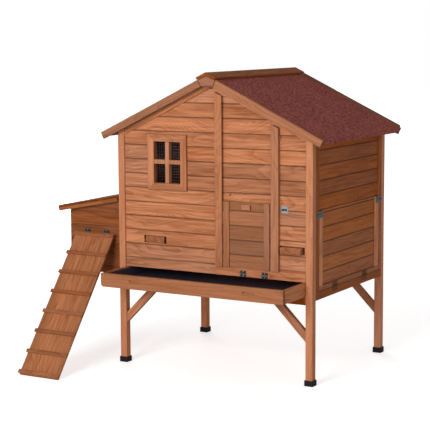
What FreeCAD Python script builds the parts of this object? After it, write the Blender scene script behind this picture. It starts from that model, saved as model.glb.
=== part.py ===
"""Raised wooden chicken coop: gabled house on four legs, nest box, tray, ramp, pop door and side flap.

Frame: +Z up, the front gable faces -Y and the drop flap faces +X. Pieces are placed from the middle
of the house's footprint, and each sub-part is then shifted so that the origin lies on the ground
under the centre of the coop's overall box. Lengths are in millimetres and angles in degrees.
"""
import FreeCAD, Part
import os
import re

import Sketcher

SIZES = [
    # House frame
    ("house_width", 1000),
    ("house_depth", 774),
    ("post_size", 34),
    ("cap_flare", 4),
    ("cap_height", 25),
    ("cap_floor", 4),
    ("cap_corner", 2.5),
    ("rail_height", 36),
    ("tray_rail_top", 394),
    ("side_rail_top", 410.5),
    ("wall_base", 457.5),
    ("sill_height", 37),
    ("inner_frame_thick", 16),
    ("brace_reach", 168),
    ("brace_width", 34),
    ("brace_thick", 22),
    ("stile_width", 33),
    ("header_height", 60),
    ("header_lap", 20),
    ("lid_header_drop", 27),
    ("top_plate_height", 50),
    # Cladding
    ("board_pitch", 65.4),
    ("board_thick", 10),
    ("wall_recess", 8),
    ("first_board", 45.1),
    ("seam_width", 1.2),
    ("seam_depth", 4),
    # Roof
    ("roof_pitch", 25.5),
    ("ridge_height", 1347),
    ("felt_thick", 2),
    ("roof_board_thick", 10),
    ("ridge_gap", 6),
    ("roof_planks", 6),
    ("eave_reach", 565),
    ("eave_fold", 20),
    ("eave_batten_width", 30),
    ("eave_batten_thick", 8),
    ("roof_overhang", 42),
    ("barge_thick", 14),
    ("barge_width", 33),
    ("barge_proud", 2),
    ("barge_start", 50),
    ("peak_gap", 2),
    ("peak_height", 48),
    ("trim_width", 38),
    ("ridge_cap_width", 47),
    ("ridge_cap_thick", 12),
    ("ridge_cap_overhang", 13),
    ("ridge_beam_width", 20),
    ("ridge_beam_height", 44),
    # Window
    ("window_left", -336.5),
    ("window_base", 822),
    ("window_width", 206),
    ("window_height", 255),
    ("window_rail", 33),
    ("window_depth", 28),
    ("window_proud", 2),
    ("muntin_width", 20),
    ("cross_height", 942.5),
    ("mesh_wire", 1.2),
    ("mesh_weld", 0.2),
    ("mesh_pitch", 12.7),
    ("mesh_margin", 8),
    # Pop door
    ("guide_left", 20),
    ("guide_width", 36),
    ("guide_spacing", 282),
    ("guide_thick", 18),
    ("guide_lip", 6.5),
    ("groove_depth", 9),
    ("guide_top_gap", 8),
    ("door_height", 297),
    ("door_board_thick", 9),
    ("door_clearance", 1),
    ("door_first_board", 60.8),
    ("door_stile_width", 27),
    ("door_stile_thick", 7),
    ("door_stile_inset", 9),
    ("door_opening_inset", 12),
    ("door_opening_boards", 4),
    ("pull_width", 42),
    ("pull_height", 22),
    ("pull_thick", 12),
    ("pull_drop", 11),
    ("pull_corner", 2),
    # Roost bars
    ("slot_width", 120),
    ("slot_height", 34),
    ("slot_base", 575),
    ("slot_left_middle", -306),
    ("slot_right_middle", 398),
    ("roost_width", 98),
    ("roost_height", 28),
    ("roost_length", 738),
    ("roost_left_offset", -9),
    ("roost_left_end", -371),
    ("roost_right_end", -404),
    ("rest_depth", 60),
    ("rest_front_depth", 20),
    ("rest_height", 20),
    # Side flap
    ("flap_height", 351.5),
    ("flap_gap", 1.5),
    ("flap_strip", 21),
    ("flap_first_board", 13.5),
    ("hinge_length", 50),
    ("hinge_middle", 160),
    ("leaf_thick", 1.5),
    ("leaf_height", 21),
    ("leaf_start", 4),
    ("knuckle_radius", 3.5),
    ("knuckle_gap", 0.3),
    ("pin_radius", 1.6),
    ("pin_clearance", 0.1),
    ("hasp_length", 62),
    ("hasp_height", 28),
    ("hasp_thick", 2),
    ("hasp_drop", 1),
    ("hasp_lap", 27),
    ("hasp_corner", 3),
    ("staple_head_length", 18),
    ("staple_head_width", 5),
    ("staple_head_thick", 5),
    ("staple_stem_radius", 2.2),
    ("staple_round", 2.2),
    ("staple_clearance", 1.5),
    # Turn button and cord eye on the front wall
    ("button_middle", 361),
    ("button_height", 768.5),
    ("button_plate_width", 36),
    ("button_plate_height", 29),
    ("button_plate_thick", 2),
    ("button_stem_radius", 4),
    ("button_length", 24),
    ("button_width", 9),
    ("button_thick", 6),
    ("button_gap", 0.5),
    ("eye_height", 1084.5),
    ("eye_radius", 5),
    ("eye_wire_radius", 1.2),
    ("eye_shank", 3),
    # Nest box
    ("nest_reach", 300),
    ("nest_inset", 34),
    ("nest_board_thick", 10),
    ("divider_height", 150),
    ("divider_spacing", 228),
    ("lid_pitch", 10.9),
    ("lid_reach", 344),
    ("lid_height", 787),
    ("lid_wall_gap", 4),
    ("lid_board_thick", 10),
    ("lid_batten_height", 16),
    ("lid_batten_width", 20),
    ("lid_batten_start", 8),
    # Tray
    ("tray_pull", 203),
    ("tray_length", 740),
    ("tray_height", 61.7),
    ("tray_board_thick", 12),
    ("tray_front_thick", 18),
    ("tray_front_stop", 4),
    ("tray_clearance", 2),
    ("tray_lift", 0.3),
    ("tray_floor_rise", 6),
    ("tray_floor_thick", 5),
    ("liner_thick", 2),
    ("liner_drop", 6),
    ("tray_corner", 14),
    ("finger_slot_length", 63),
    ("finger_slot_height", 13),
    ("finger_slot_depth", 8),
    ("finger_slot_spacing", 579),
    ("finger_slot_base", 27.5),
    ("finger_slot_offset", 8),
    ("runner_width", 26),
    ("runner_height", 19.5),
    # Ramp
    ("ramp_middle", -646),
    ("ramp_pitch", 52),
    ("ramp_width", 214),
    ("ramp_thick", 12),
    ("ramp_end_gap", 8.5),
    ("cleat_pitch", 104),
    ("cleat_first", 3),
    ("cleat_width", 18),
    ("cleat_thick", 9),
    ("cleat_overhang", 6),
    ("hook_spacing", 108),
    ("hook_height", 600),
    ("hook_width", 46),
    ("hook_tongue_width", 18),
    ("hook_length", 55),
    ("hook_thick", 1.7),
    ("bar_radius", 2.5),
    ("bar_clearance", 0.3),
    ("catch_size", 28),
    ("catch_thick", 3),
    ("catch_ear_width", 3),
    ("catch_ear_gap", 22),
    ("catch_ear_margin", 1),
    ("catch_standoff", 5),
    ("sill_catch_middle", 213.5),
    ("sill_catch_height", 471.7),
    # Fasteners
    ("screw_radius", 4),
    ("screw_head", 1.5),
    ("screw_high", 1010),
    ("screw_low", 437),
    # Shift that puts the origin under the middle of the overall box
    ("shift_x", 0),
    ("shift_y", 0),
]

DOC = FreeCAD.newDocument("ChickenCoop")
SHEET = DOC.addObject("Spreadsheet::Sheet", "Sizes")
NODES = []

# Places worked out from the driving sizes, written as formulas of the sheet's names
HALF_W = "(house_width/2)"
HALF_D = "(house_depth/2)"
INNER_X = "(house_width/2 - post_size)"
INNER_Y = "(house_depth/2 - post_size)"
FACE_X = "(house_width/2 - wall_recess)"
BACK_X = "(house_width/2 - wall_recess - board_thick)"
FACE_Y = "(house_depth/2 - wall_recess)"
BACK_Y = "(house_depth/2 - wall_recess - board_thick)"
BAY_Y = "(house_depth/2 - post_size - stile_width)"
ROOF_UNDER = "(ridge_height - (felt_thick + roof_board_thick)/cos(roof_pitch))"
TRIM_UNDER = "(ridge_height - (felt_thick + roof_board_thick + trim_width)/cos(roof_pitch))"
SLOPE_END = "(eave_reach/cos(roof_pitch))"
BARGE_FACE = "(house_depth/2 + roof_overhang)"
BARGE_BACK = "(house_depth/2 + roof_overhang - barge_thick)"
SILL_TOP = "(wall_base + sill_height)"
FIRST_SEAM = "(wall_base + first_board)"
RAIL_BASE = "(tray_rail_top - rail_height)"
BAY_LEFT = "(guide_left + guide_width)"
GUIDE_RIGHT = "(guide_left + guide_spacing)"
DOOR_BACK = f"(-{FACE_Y} - door_clearance)"
DOOR_FRONT = f"({DOOR_BACK} - door_board_thick)"
DOOR_TOP = f"({SILL_TOP} + door_height)"
DOOR_LEFT = f"({BAY_LEFT} - groove_depth + door_clearance)"
DOOR_RIGHT = f"({GUIDE_RIGHT} + groove_depth - door_clearance)"
DOOR_OPENING_TOP = f"({FIRST_SEAM} + door_opening_boards*board_pitch)"
FLAP_BASE = "(side_rail_top + flap_gap)"
FLAP_TOP = f"({FLAP_BASE} + flap_height)"
UPPER_BASE = f"({FLAP_TOP} + flap_gap)"
FLAP_Y = f"({BAY_Y} - flap_gap)"
HASP_Z = f"({FLAP_TOP} - hasp_drop - hasp_height/2)"
FLAP_AXIS = ("(house_width/2 + knuckle_radius)", "(side_rail_top + flap_gap/2)")
LID_EDGE_X = "(-house_width/2 - lid_wall_gap)"
LID_HEADER_BASE = "(lid_height - lid_header_drop)"
LID_HEADER_TOP = f"({LID_HEADER_BASE} + header_height)"
LID_AXIS_X = "(-house_width/2 - knuckle_radius)"
LID_AXIS_Z = f"(lid_height - ({LID_EDGE_X} - {LID_AXIS_X})*tan(lid_pitch) + knuckle_radius/cos(lid_pitch))"
LID_AXIS = (LID_AXIS_X, LID_AXIS_Z)
LID_UNDER = "(lid_height - (felt_thick + lid_board_thick)/cos(lid_pitch))"
NEST_OUT = "(house_width/2 + nest_reach)"
NEST_Y = "(house_depth/2 - nest_inset)"
NEST_INNER_Y = "(house_depth/2 - nest_inset - nest_board_thick)"
TRAY_BASE = "(tray_rail_top + tray_lift)"
TRAY_SIDE_X = "(house_width/2 - post_size - tray_clearance)"
TRAY_FRONT_Y = "(-house_depth/2 - tray_front_stop - tray_pull)"
TRAY_BACK_Y = f"({TRAY_FRONT_Y} + tray_length)"
TRAY_INNER_X = f"({TRAY_SIDE_X} - tray_board_thick)"
TRAY_INNER_FRONT = f"({TRAY_FRONT_Y} + tray_front_thick)"
TRAY_INNER_BACK = f"({TRAY_BACK_Y} - tray_board_thick)"
TRAY_FLOOR = f"({TRAY_BASE} + tray_floor_rise)"
TRAY_LINER_BASE = f"({TRAY_FLOOR} + tray_floor_thick)"
HOOK_Y = "(-house_depth/2 + nest_inset - catch_thick - catch_standoff)"
HOOK_RISE = "(bar_radius + bar_clearance)"
HOOK_REACH = f"((hook_height - {HOOK_RISE}*cos(ramp_pitch))/sin(ramp_pitch))"
RAMP_LENGTH = f"({HOOK_REACH} - ramp_end_gap)"
RAMP_FOOT_Y = f"({HOOK_Y} - {HOOK_REACH}*cos(ramp_pitch) + {HOOK_RISE}*sin(ramp_pitch))"
BAR_BASE = "(slot_base + (slot_height - roost_height)/2)"
SIDE_ROOF = f"({ROOF_UNDER} - {BACK_X}*tan(roof_pitch))"
WINDOW_BACK = "(-house_depth/2 - window_proud + window_depth)"
X_AXIS = (1, 0, 0)
Y_AXIS = (0, 1, 0)
CORNERS = [(side, end) for side in (1, -1) for end in (-1, 1)]
ROOF = ("roof_pitch", "0", "ridge_height")
LID = ("lid_pitch", LID_EDGE_X, "lid_height")


def fill_sheet():
    """Write each driving size once, with its name as the alias."""
    for row, (name, value) in enumerate(SIZES, start=1):
        SHEET.set(f"A{row}", name)
        SHEET.set(f"B{row}", str(value))
        SHEET.setAlias(f"B{row}", name)
    DOC.recompute()


def formula(text):
    """Point each size name in a formula at its cell."""
    names = {name for name, _ in SIZES}
    return re.sub(r"[a-z_]+", lambda word: f"Sizes.{word[0]}" if word[0] in names else word[0], str(text))


def value(text):
    """The number that a formula gives with the sheet's sizes."""
    return float(SHEET.evalExpression(formula(text)))


def put(piece, place, axis=None, angle="0"):
    """Set a piece at a place, turned about an axis."""
    if axis:
        piece.Placement = FreeCAD.Placement(FreeCAD.Vector(), FreeCAD.Rotation(FreeCAD.Vector(*axis), 1))
        piece.setExpression("Placement.Rotation.Angle", formula(angle))
    for letter, text in zip("xyz", place):
        piece.setExpression(f"Placement.Base.{letter}", formula(text))
    return piece


def box(name, place, lengths, axis=None, angle="0"):
    """A board: low corner and three lengths, each a formula."""
    piece = DOC.addObject("Part::Box", name)
    for side, text in zip(("Length", "Width", "Height"), lengths):
        piece.setExpression(side, formula(text))
    return put(piece, place, axis, angle)


def span(name, x_range, y_range, z_range):
    """A board given by where it starts and ends along each axis."""
    ranges = (x_range, y_range, z_range)
    return box(name, [low for low, _ in ranges], [f"({high}) - ({low})" for low, high in ranges])


def rod(name, radius, length, place, axis=None, angle="0"):
    """A round bar along its own Z, turned to where it goes."""
    piece = DOC.addObject("Part::Cylinder", name)
    piece.setExpression("Radius", formula(radius))
    piece.setExpression("Height", formula(length))
    return put(piece, place, axis, angle)


def cut(name, base, tool):
    """What is left of the base outside the tool."""
    piece = DOC.addObject("Part::Cut", name)
    piece.Base = base
    piece.Tool = tool
    return piece


def keep(name, base, region):
    """What is left of the base inside the region."""
    piece = DOC.addObject("Part::Common", name)
    piece.Base = base
    piece.Tool = region
    return piece


def join(name, pieces):
    """Several shapes made into one solid."""
    piece = DOC.addObject("Part::MultiFuse", name)
    piece.Shapes = pieces
    return piece


def node(name, pieces):
    """Name a finished sub-part and bind it to the shift of the whole coop."""
    piece = DOC.addObject("Part::Compound", f"{name}_part")
    piece.Links = pieces
    piece.Label = name
    NODES.append(put(piece, ("shift_x", "shift_y", "0")))


def outward(side, near, far):
    """A range that runs outward from the middle, on the side that the sign gives."""
    if side > 0:
        return near, far
    return f"-({far})", f"-({near})"


def both(reach):
    """A range with the middle of the house at its centre."""
    return f"-({reach})", reach


def around(middle, length):
    """A range of a length with a given middle."""
    return f"({middle}) - ({length})/2", f"({middle}) + ({length})/2"


def slope_box(name, side, slope, slope_range, up_range, y_range):
    """A board that lies along a slope: distance down it, height over its top and reach along Y."""
    pitch, edge_x, edge_z = slope
    near, far = slope_range
    low, high = up_range
    start = near if side > 0 else far
    x = f"{edge_x} + (({start})*cos({pitch}) + ({low})*sin({pitch}))*({side})"
    z = f"{edge_z} - ({start})*sin({pitch}) + ({low})*cos({pitch})"
    lengths = (f"({far}) - ({near})", f"({y_range[1]}) - ({y_range[0]})", f"({high}) - ({low})")
    return box(name, (x, y_range[0], z), lengths, Y_AXIS, f"{pitch}*({side})")


def roof_sides(name, slope_range, up_range, y_range, reach="house_width"):
    """The same board on both roof slopes, each cut plumb at the middle of the house and at its reach."""
    pieces = []
    for side in (1, -1):
        board = slope_box(f"{name}_board", side, ROOF, slope_range, up_range, y_range)
        half = span(f"{name}_half", outward(side, "0", reach), both("house_depth"), ("0", "2*ridge_height"))
        pieces.append(keep(f"{name}_plumb", board, half))
    return pieces


def above_slopes(name, level):
    """Everything above two planes that fall from a level at the ridge with the roof's pitch."""
    slope = ("roof_pitch", "0", level)
    reach = ("-ridge_height/4", "house_width + eave_reach")
    halves = [slope_box(f"{name}_half", side, slope, reach, ("0", "ridge_height"), both("house_depth"))
              for side in (1, -1)]
    return join(name, halves)


def board_marks(low, high, first):
    """Edges of the boards between two levels: the seams lie on a pitch that starts at the first."""
    pitch = value("board_pitch")
    start = value(first)
    bottom = value(low)
    top = value(high)
    margin = pitch/6
    lowest = int((bottom + margin - start)//pitch) + 1
    highest = int((top - margin - start)//pitch)
    seams = [f"{first} + {count}*board_pitch" for count in range(lowest, highest + 1)]
    return [low, *seams, high]


def boards(name, x_range, y_range, z_range, groove_side, first=FIRST_SEAM):
    """Tongued boards laid edge to edge; each has a rebate under its face that makes the seam.

    The groove side names the outer face: its axis letter and the sign of the way it looks.
    """
    letter, sign = groove_side
    marks = board_marks(*z_range, first)
    pieces = []
    for number, (low, high) in enumerate(zip(marks, marks[1:])):
        board = span(f"{name}_board", x_range, y_range, (low, high))
        if number:
            seam_z = (low, f"{low} + seam_width")
            ranges = {"x": x_range, "y": y_range}
            face = ranges[letter][1] if sign > 0 else ranges[letter][0]
            depth = (f"{face} - seam_depth", face) if sign > 0 else (face, f"{face} + seam_depth")
            ranges[letter] = depth
            seam = span(f"{name}_seam", ranges["x"], ranges["y"], seam_z)
            board = cut(f"{name}_tongued", board, seam)
        pieces.append(board)
    return pieces


def origin_plane(body, role):
    """One of a body's own origin planes."""
    return next(plane for plane in body.Origin.OriginFeatures if plane.Role == role)


def outline(body, name, role, corners, rise="0"):
    """A closed outline of straight edges, each corner held by two formulas."""
    sketch = body.newObject("Sketcher::SketchObject", name)
    sketch.AttachmentSupport = [(origin_plane(body, role), "")]
    sketch.MapMode = "FlatFace"
    sketch.setExpression("AttachmentOffset.Base.z", formula(rise))
    points = [FreeCAD.Vector(value(across), value(up), 0) for across, up in corners]
    count = len(points)
    for index, point in enumerate(points):
        sketch.addGeometry(Part.LineSegment(point, points[(index + 1) % count]), False)
    for index in range(count):
        sketch.addConstraint(Sketcher.Constraint("Coincident", index, 2, (index + 1) % count, 1))
    for index, (corner, point) in enumerate(zip(corners, points)):
        for kind, text, number in (("DistanceX", corner[0], point.x), ("DistanceY", corner[1], point.y)):
            place = sketch.addConstraint(Sketcher.Constraint(kind, -1, 1, index, 1, number))
            sketch.renameConstraint(place, f"{kind}_{index}")
            sketch.setExpression(f"Constraints.{kind}_{index}", formula(text))
    return sketch


def rectangle(low, high):
    """Corners of a rectangle from its low corner to its high one."""
    return [low, (high[0], low[1]), high, (low[0], high[1])]


def pad(name, role, corners, length, place):
    """A body with one thickness, raised from an outline in one of its own planes."""
    body = DOC.addObject("PartDesign::Body", name)
    feature = body.newObject("PartDesign::Pad", f"{name}_thickness")
    feature.Profile = outline(body, f"{name}_outline", role, corners)
    feature.setExpression("Length", formula(length))
    put(body, place)
    DOC.recompute()
    return body


def pocket(body, name, role, corners, length, rise):
    """Sink an outline, from its height over its plane, into the body and check that it cuts."""
    before = body.Shape.Volume
    feature = body.newObject("PartDesign::Pocket", name)
    feature.Profile = outline(body, f"{name}_outline", role, corners, rise)
    feature.setExpression("Length", formula(length))
    DOC.recompute()
    if body.Shape.Volume >= before:
        raise RuntimeError(f"{body.Name}: {name} takes nothing away")


def round_edges(body, radius, letter, wanted=lambda away: True):
    """Round the edges that run along an axis, or the wanted ones, told by their way from the middle."""
    base = body.Tip
    middle = base.Shape.BoundBox.Center
    found = []
    for index, edge in enumerate(base.Shape.Edges, start=1):
        start, end = edge.Vertexes[0].Point, edge.Vertexes[-1].Point
        along = abs(getattr(end - start, letter)) > edge.Length*0.99
        if along and wanted((start + end)/2 - middle):
            found.append(f"Edge{index}")
    fillet = body.newObject("PartDesign::Fillet", f"{body.Name}_rounding")
    fillet.Base = (base, found)
    fillet.setExpression("Radius", formula(radius))
    DOC.recompute()


def posts(roof_space):
    """Four corner posts that run from the foot caps up to the roof boards."""
    pieces = []
    for side, end in CORNERS:
        across = outward(side, INNER_X, HALF_W)
        post = span("post", across, outward(end, INNER_Y, HALF_D), ("cap_floor", "ridge_height"))
        pieces.append(cut("post_under_roof", post, roof_space))
    node("posts", pieces)


def foot_caps():
    """Plastic caps pushed over the lower ends of the posts."""
    reach = "(post_size/2 + cap_flare)"
    pieces = []
    for side, end in CORNERS:
        place = (f"({INNER_X} + post_size/2)*({side})", f"({INNER_Y} + post_size/2)*({end})", "0")
        corners = rectangle((f"-{reach}", f"-{reach}"), (reach, reach))
        cap = pad("foot_cap", "XY_Plane", corners, "cap_height", place)
        round_edges(cap, "cap_corner", "z")
        seat = rectangle(("-post_size/2", "-post_size/2"), ("post_size/2", "post_size/2"))
        pocket(cap, "post_seat", "XY_Plane", seat, "cap_height - cap_floor", "cap_height")
        pieces.append(cap)
    node("foot_caps", pieces)


def bottom_rails():
    """Rails that join the posts under the walls and the tray."""
    low = (RAIL_BASE, "tray_rail_top")
    pieces = [span("end_rail", both(INNER_X), outward(end, INNER_Y, HALF_D), low) for end in (-1, 1)]
    for side in (1, -1):
        across = outward(side, INNER_X, HALF_W)
        pieces.append(span("side_rail", across, both(INNER_Y), ("side_rail_top - rail_height", "side_rail_top")))
    node("bottom_rails", pieces)


def front_frame(roof_space):
    """Sill under the pop door, the rail behind the front boards and the studs behind the guides."""
    rail_heights = ("wall_base", SILL_TOP)
    sill = span("sill", ("guide_left", INNER_X), outward(-1, INNER_Y, HALF_D), rail_heights)
    node("front_sill_rail", [sill])
    depth = (f"-{BACK_Y}", f"-{BACK_Y} + inner_frame_thick")
    pieces = [span("inner_rail", (f"-{INNER_X}", "guide_left"), depth, rail_heights)]
    for left in ("guide_left", GUIDE_RIGHT):
        stud = span("stud", (left, f"{left} + guide_width"), depth, (SILL_TOP, "ridge_height"))
        pieces.append(cut("stud_under_roof", stud, roof_space))
    node("front_wall_frame", pieces)


def side_frame(roof_space):
    """Headers, top rails and stiles of the two side walls."""
    right = span("right_header", (INNER_X, BACK_X), both(BAY_Y),
                 (f"{UPPER_BASE} - header_lap", f"{UPPER_BASE} - header_lap + header_height"))
    left = span("left_header", outward(-1, INNER_X, HALF_W), both(BAY_Y), (LID_HEADER_BASE, LID_HEADER_TOP))
    node("header_rails", [right, left])
    plates = []
    for side in (1, -1):
        base = f"{ROOF_UNDER} - {INNER_X}*tan(roof_pitch) - top_plate_height"
        plate = span("top_plate", outward(side, INNER_X, BACK_X), both(BAY_Y), (base, "ridge_height"))
        plates.append(cut("top_plate_under_roof", plate, roof_space))
    node("side_top_rails", plates)
    stiles = []
    for side, end in CORNERS:
        depth = outward(end, BAY_Y, INNER_Y)
        stile = span("wall_stile", outward(side, INNER_X, HALF_W), depth, ("side_rail_top", "ridge_height"))
        stiles.append(cut("wall_stile_under_roof", stile, roof_space))
    node("wall_stiles", stiles)


def corner_braces():
    """Diagonal braces between the posts and the bottom rails at the front and rear."""
    pieces = []
    for side, end in CORNERS:
        start_x = f"{INNER_X} - brace_reach" if side > 0 else f"-{INNER_X}"
        start_z = RAIL_BASE if side > 0 else f"{RAIL_BASE} - brace_reach"
        middle = f"({INNER_Y} + post_size/2)*({end})"
        depth = around(middle, "brace_thick")
        length = ("brace_reach*sqrt(2)", "brace_thick", "brace_width")
        brace = box("brace", (start_x, depth[0], start_z), length, Y_AXIS, f"45*({side})")
        across = outward(side, f"{INNER_X} - brace_reach", INNER_X)
        corner = span("brace_corner", across, depth, (f"{RAIL_BASE} - brace_reach", RAIL_BASE))
        pieces.append(keep("brace_between", brace, corner))
    node("corner_braces", pieces)


def front_cladding(roof_space):
    """Boards of the front wall, cut out for the door, the window and the roost bars."""
    depth = outward(-1, BACK_Y, FACE_Y)
    door_left = f"{BAY_LEFT} + door_opening_inset"
    door_right = f"{GUIDE_RIGHT} - door_opening_inset"
    door = span("door_opening", (door_left, door_right), both(HALF_D), ("wall_base", DOOR_OPENING_TOP))
    across = ("window_left", "window_left + window_width")
    window = span("window_opening", across, both(HALF_D), ("window_base", "window_base + window_height"))
    slots = []
    for middle in ("slot_left_middle", "slot_right_middle"):
        reach = around(middle, "slot_width")
        slots.append(span("slot", reach, both(HALF_D), ("slot_base", "slot_base + slot_height")))
    openings = join("front_openings", [door, window, *slots, roof_space])
    starters = [span("starter_board", (f"-{INNER_X}", "guide_left"), depth, ("wall_base", FIRST_SEAM)),
                span("starter_strip", ("guide_left", INNER_X), depth, (SILL_TOP, FIRST_SEAM))]
    plain = [cut("starter_cut", board, openings) for board in starters]
    slotted = []
    levels = (FIRST_SEAM, ROOF_UNDER)
    marks = board_marks(*levels, FIRST_SEAM)
    for board, low, high in zip(boards("front", both(INNER_X), depth, levels, ("y", -1)), marks, marks[1:]):
        apart = value(high) <= value("slot_base") or value(low) >= value("slot_base + slot_height")
        (plain if apart else slotted).append(cut("front_cut", board, openings))
    node("front_cladding", plain)
    node("slotted_boards", slotted)


def other_cladding(roof_space):
    """Boards of the rear wall and of the two sides above their headers."""
    rear = boards("rear", both(INNER_X), outward(1, BACK_Y, FACE_Y), ("tray_rail_top", ROOF_UNDER), ("y", 1))
    node("rear_cladding", [cut("rear_cut", board, roof_space) for board in rear])
    left = boards("left", outward(-1, BACK_X, FACE_X), both(BAY_Y), (LID_HEADER_TOP, SIDE_ROOF), ("x", -1))
    node("left_cladding", [cut("left_cut", board, roof_space) for board in left])
    right = boards("right", outward(1, BACK_X, FACE_X), both(BAY_Y), (UPPER_BASE, SIDE_ROOF), ("x", 1))
    node("right_cladding", [cut("right_cut", board, roof_space) for board in right])


def gable_trims():
    """Boards under the roof on both gables, flush with the posts."""
    top = "-(felt_thick + roof_board_thick)"
    pieces = []
    for end in (-1, 1):
        depth = outward(end, FACE_Y, HALF_D)
        up_range = (f"{top} - trim_width", top)
        pieces += roof_sides("gable_trim", ("-trim_width", SLOPE_END), up_range, depth, INNER_X)
    node("gable_trims", pieces)


def roof():
    """Boards, eave battens, felt, bargeboards, peak plates and caps of the roof."""
    depth = both(BARGE_BACK)
    under = "-(felt_thick + roof_board_thick)"
    width = f"(({SLOPE_END} - ridge_gap)/roof_planks)"
    planks = []
    battens = []
    folds = []
    barges = []
    for side in (1, -1):
        for count in range(int(value("roof_planks"))):
            reach = (f"ridge_gap + {count}*{width}", f"ridge_gap + {count + 1}*{width}")
            planks.append(slope_box("roof_plank", side, ROOF, reach, (under, "-felt_thick"), depth))
        reach = (f"{SLOPE_END} - eave_batten_width", SLOPE_END)
        battens.append(slope_box("eave_batten", side, ROOF, reach, (f"{under} - eave_batten_thick", under), depth))
        reach = (SLOPE_END, f"{SLOPE_END} + felt_thick")
        folds.append(slope_box("felt_fold", side, ROOF, reach, ("-eave_fold", "0"), depth))
        for end in (-1, 1):
            up_range = ("barge_proud - barge_width", "barge_proud")
            end_depth = outward(end, BARGE_BACK, BARGE_FACE)
            barges.append(slope_box("bargeboard", side, ROOF, ("barge_start", SLOPE_END), up_range, end_depth))
    node("roof_boards", planks)
    node("eave_battens", battens)
    sheets = roof_sides("felt", ("-ridge_height/20", SLOPE_END), ("-felt_thick", "0"), depth)
    node("roof_felt", [join("felt_sheet", sheets + folds)])
    node("bargeboards", barges)


def ridge(roof_space):
    """Beam under the ridge, the plates at its ends and the two caps over it."""
    base = f"{ROOF_UNDER} - ridge_beam_height"
    beam = span("beam", both("ridge_beam_width/2"), both(BACK_Y), (base, "ridge_height"))
    node("ridge_beam", [cut("ridge_beam_under_roof", beam, roof_space)])
    plates = []
    for end in (-1, 1):
        depth = outward(end, BARGE_BACK, BARGE_FACE)
        reach = ("-ridge_height/4", "barge_start - peak_gap")
        slopes = [slope_box("peak_side", side, ROOF, reach, ("-ridge_height/8", "0"), depth) for side in (1, -1)]
        blank = keep("peak_blank", *slopes)
        above = span("peak_above", both("house_width/2"), both("house_depth"),
                     ("ridge_height - peak_height", "2*ridge_height"))
        plates.append(keep("peak_plate", blank, above))
    node("peak_plates", plates)
    reach = ("-ridge_cap_width", "ridge_cap_width")
    node("ridge_caps", roof_sides("ridge_cap", reach, ("0", "ridge_cap_thick"),
                                  both(f"({BARGE_FACE} + ridge_cap_overhang)")))


def window():
    """Mitred frame, lapped glazing bars and the wire mesh behind them."""
    wide, tall, rail = "window_width", "window_height", "window_rail"
    members = [
        [("0", "0"), (wide, "0"), (f"{wide} - {rail}", rail), (rail, rail)],
        [(wide, "0"), (wide, tall), (f"{wide} - {rail}", f"{tall} - {rail}"), (f"{wide} - {rail}", rail)],
        [(wide, tall), ("0", tall), (rail, f"{tall} - {rail}"), (f"{wide} - {rail}", f"{tall} - {rail}")],
        [("0", tall), ("0", "0"), (rail, rail), (rail, f"{tall} - {rail}")],
    ]
    place = ("window_left", WINDOW_BACK, "window_base")
    node("window_frame", [pad("window_member", "XZ_Plane", member, "window_depth", place) for member in members])
    middle = "window_left + window_width/2"
    front = f"-{HALF_D}"
    depth = (front, WINDOW_BACK)
    lap = f"({front} + {WINDOW_BACK})/2"
    across = around(middle, "muntin_width")
    level = ("cross_height", "cross_height + muntin_width")
    upright = span("upright_bar", across, depth,
                   ("window_base + window_rail", "window_base + window_height - window_rail"))
    cross = span("cross_bar", ("window_left + window_rail", "window_left + window_width - window_rail"),
                 depth, level)
    notch = span("upright_notch", across, (lap, WINDOW_BACK), level)
    lapped = span("cross_notch", across, (front, lap), level)
    node("window_bars", [cut("upright_lapped", upright, notch), cut("cross_lapped", cross, lapped)])


def window_mesh():
    """Welded square mesh fixed to the back of the window frame."""
    left, bottom = "window_left + mesh_margin", "window_base + mesh_margin"
    right, top = "window_left + window_width - mesh_margin", "window_base + window_height - mesh_margin"
    near = (WINDOW_BACK, f"{WINDOW_BACK} + mesh_wire")
    far = (f"{near[1]} - mesh_weld", f"{near[1]} - mesh_weld + mesh_wire")
    wires = []
    for count in range(int(value(f"({right} - ({left}) - mesh_wire)/mesh_pitch")) + 1):
        start = f"{left} + {count}*mesh_pitch"
        wires.append(span("upright_wire", (start, f"{start} + mesh_wire"), near, (bottom, top)))
    for count in range(int(value(f"({top} - ({bottom}) - mesh_wire)/mesh_pitch")) + 1):
        start = f"{bottom} + {count}*mesh_pitch"
        wires.append(span("cross_wire", (left, right), far, (start, f"{start} + mesh_wire")))
    node("window_mesh", [join("welded_mesh", wires)])


def door_guides():
    """Two grooved battens that the pop door slides in, cut off parallel to the roof."""
    above = above_slopes("guide_tops", f"({TRIM_UNDER} - guide_top_gap)")
    depth = (f"-{FACE_Y} - guide_thick", f"-{FACE_Y}")
    groove_depth = (f"{depth[0]} + guide_lip", depth[1])
    grooves = {"guide_left": (f"{BAY_LEFT} - groove_depth", BAY_LEFT),
               GUIDE_RIGHT: (GUIDE_RIGHT, f"{GUIDE_RIGHT} + groove_depth")}
    pieces = []
    for left, reach in grooves.items():
        blank = span("guide", (left, f"{left} + guide_width"), depth, (SILL_TOP, "ridge_height"))
        groove = span("groove", reach, groove_depth, ("0", "ridge_height"))
        pieces.append(cut("guide_cut", cut("guide_grooved", blank, groove), above))
    node("door_guides", pieces)


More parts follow.
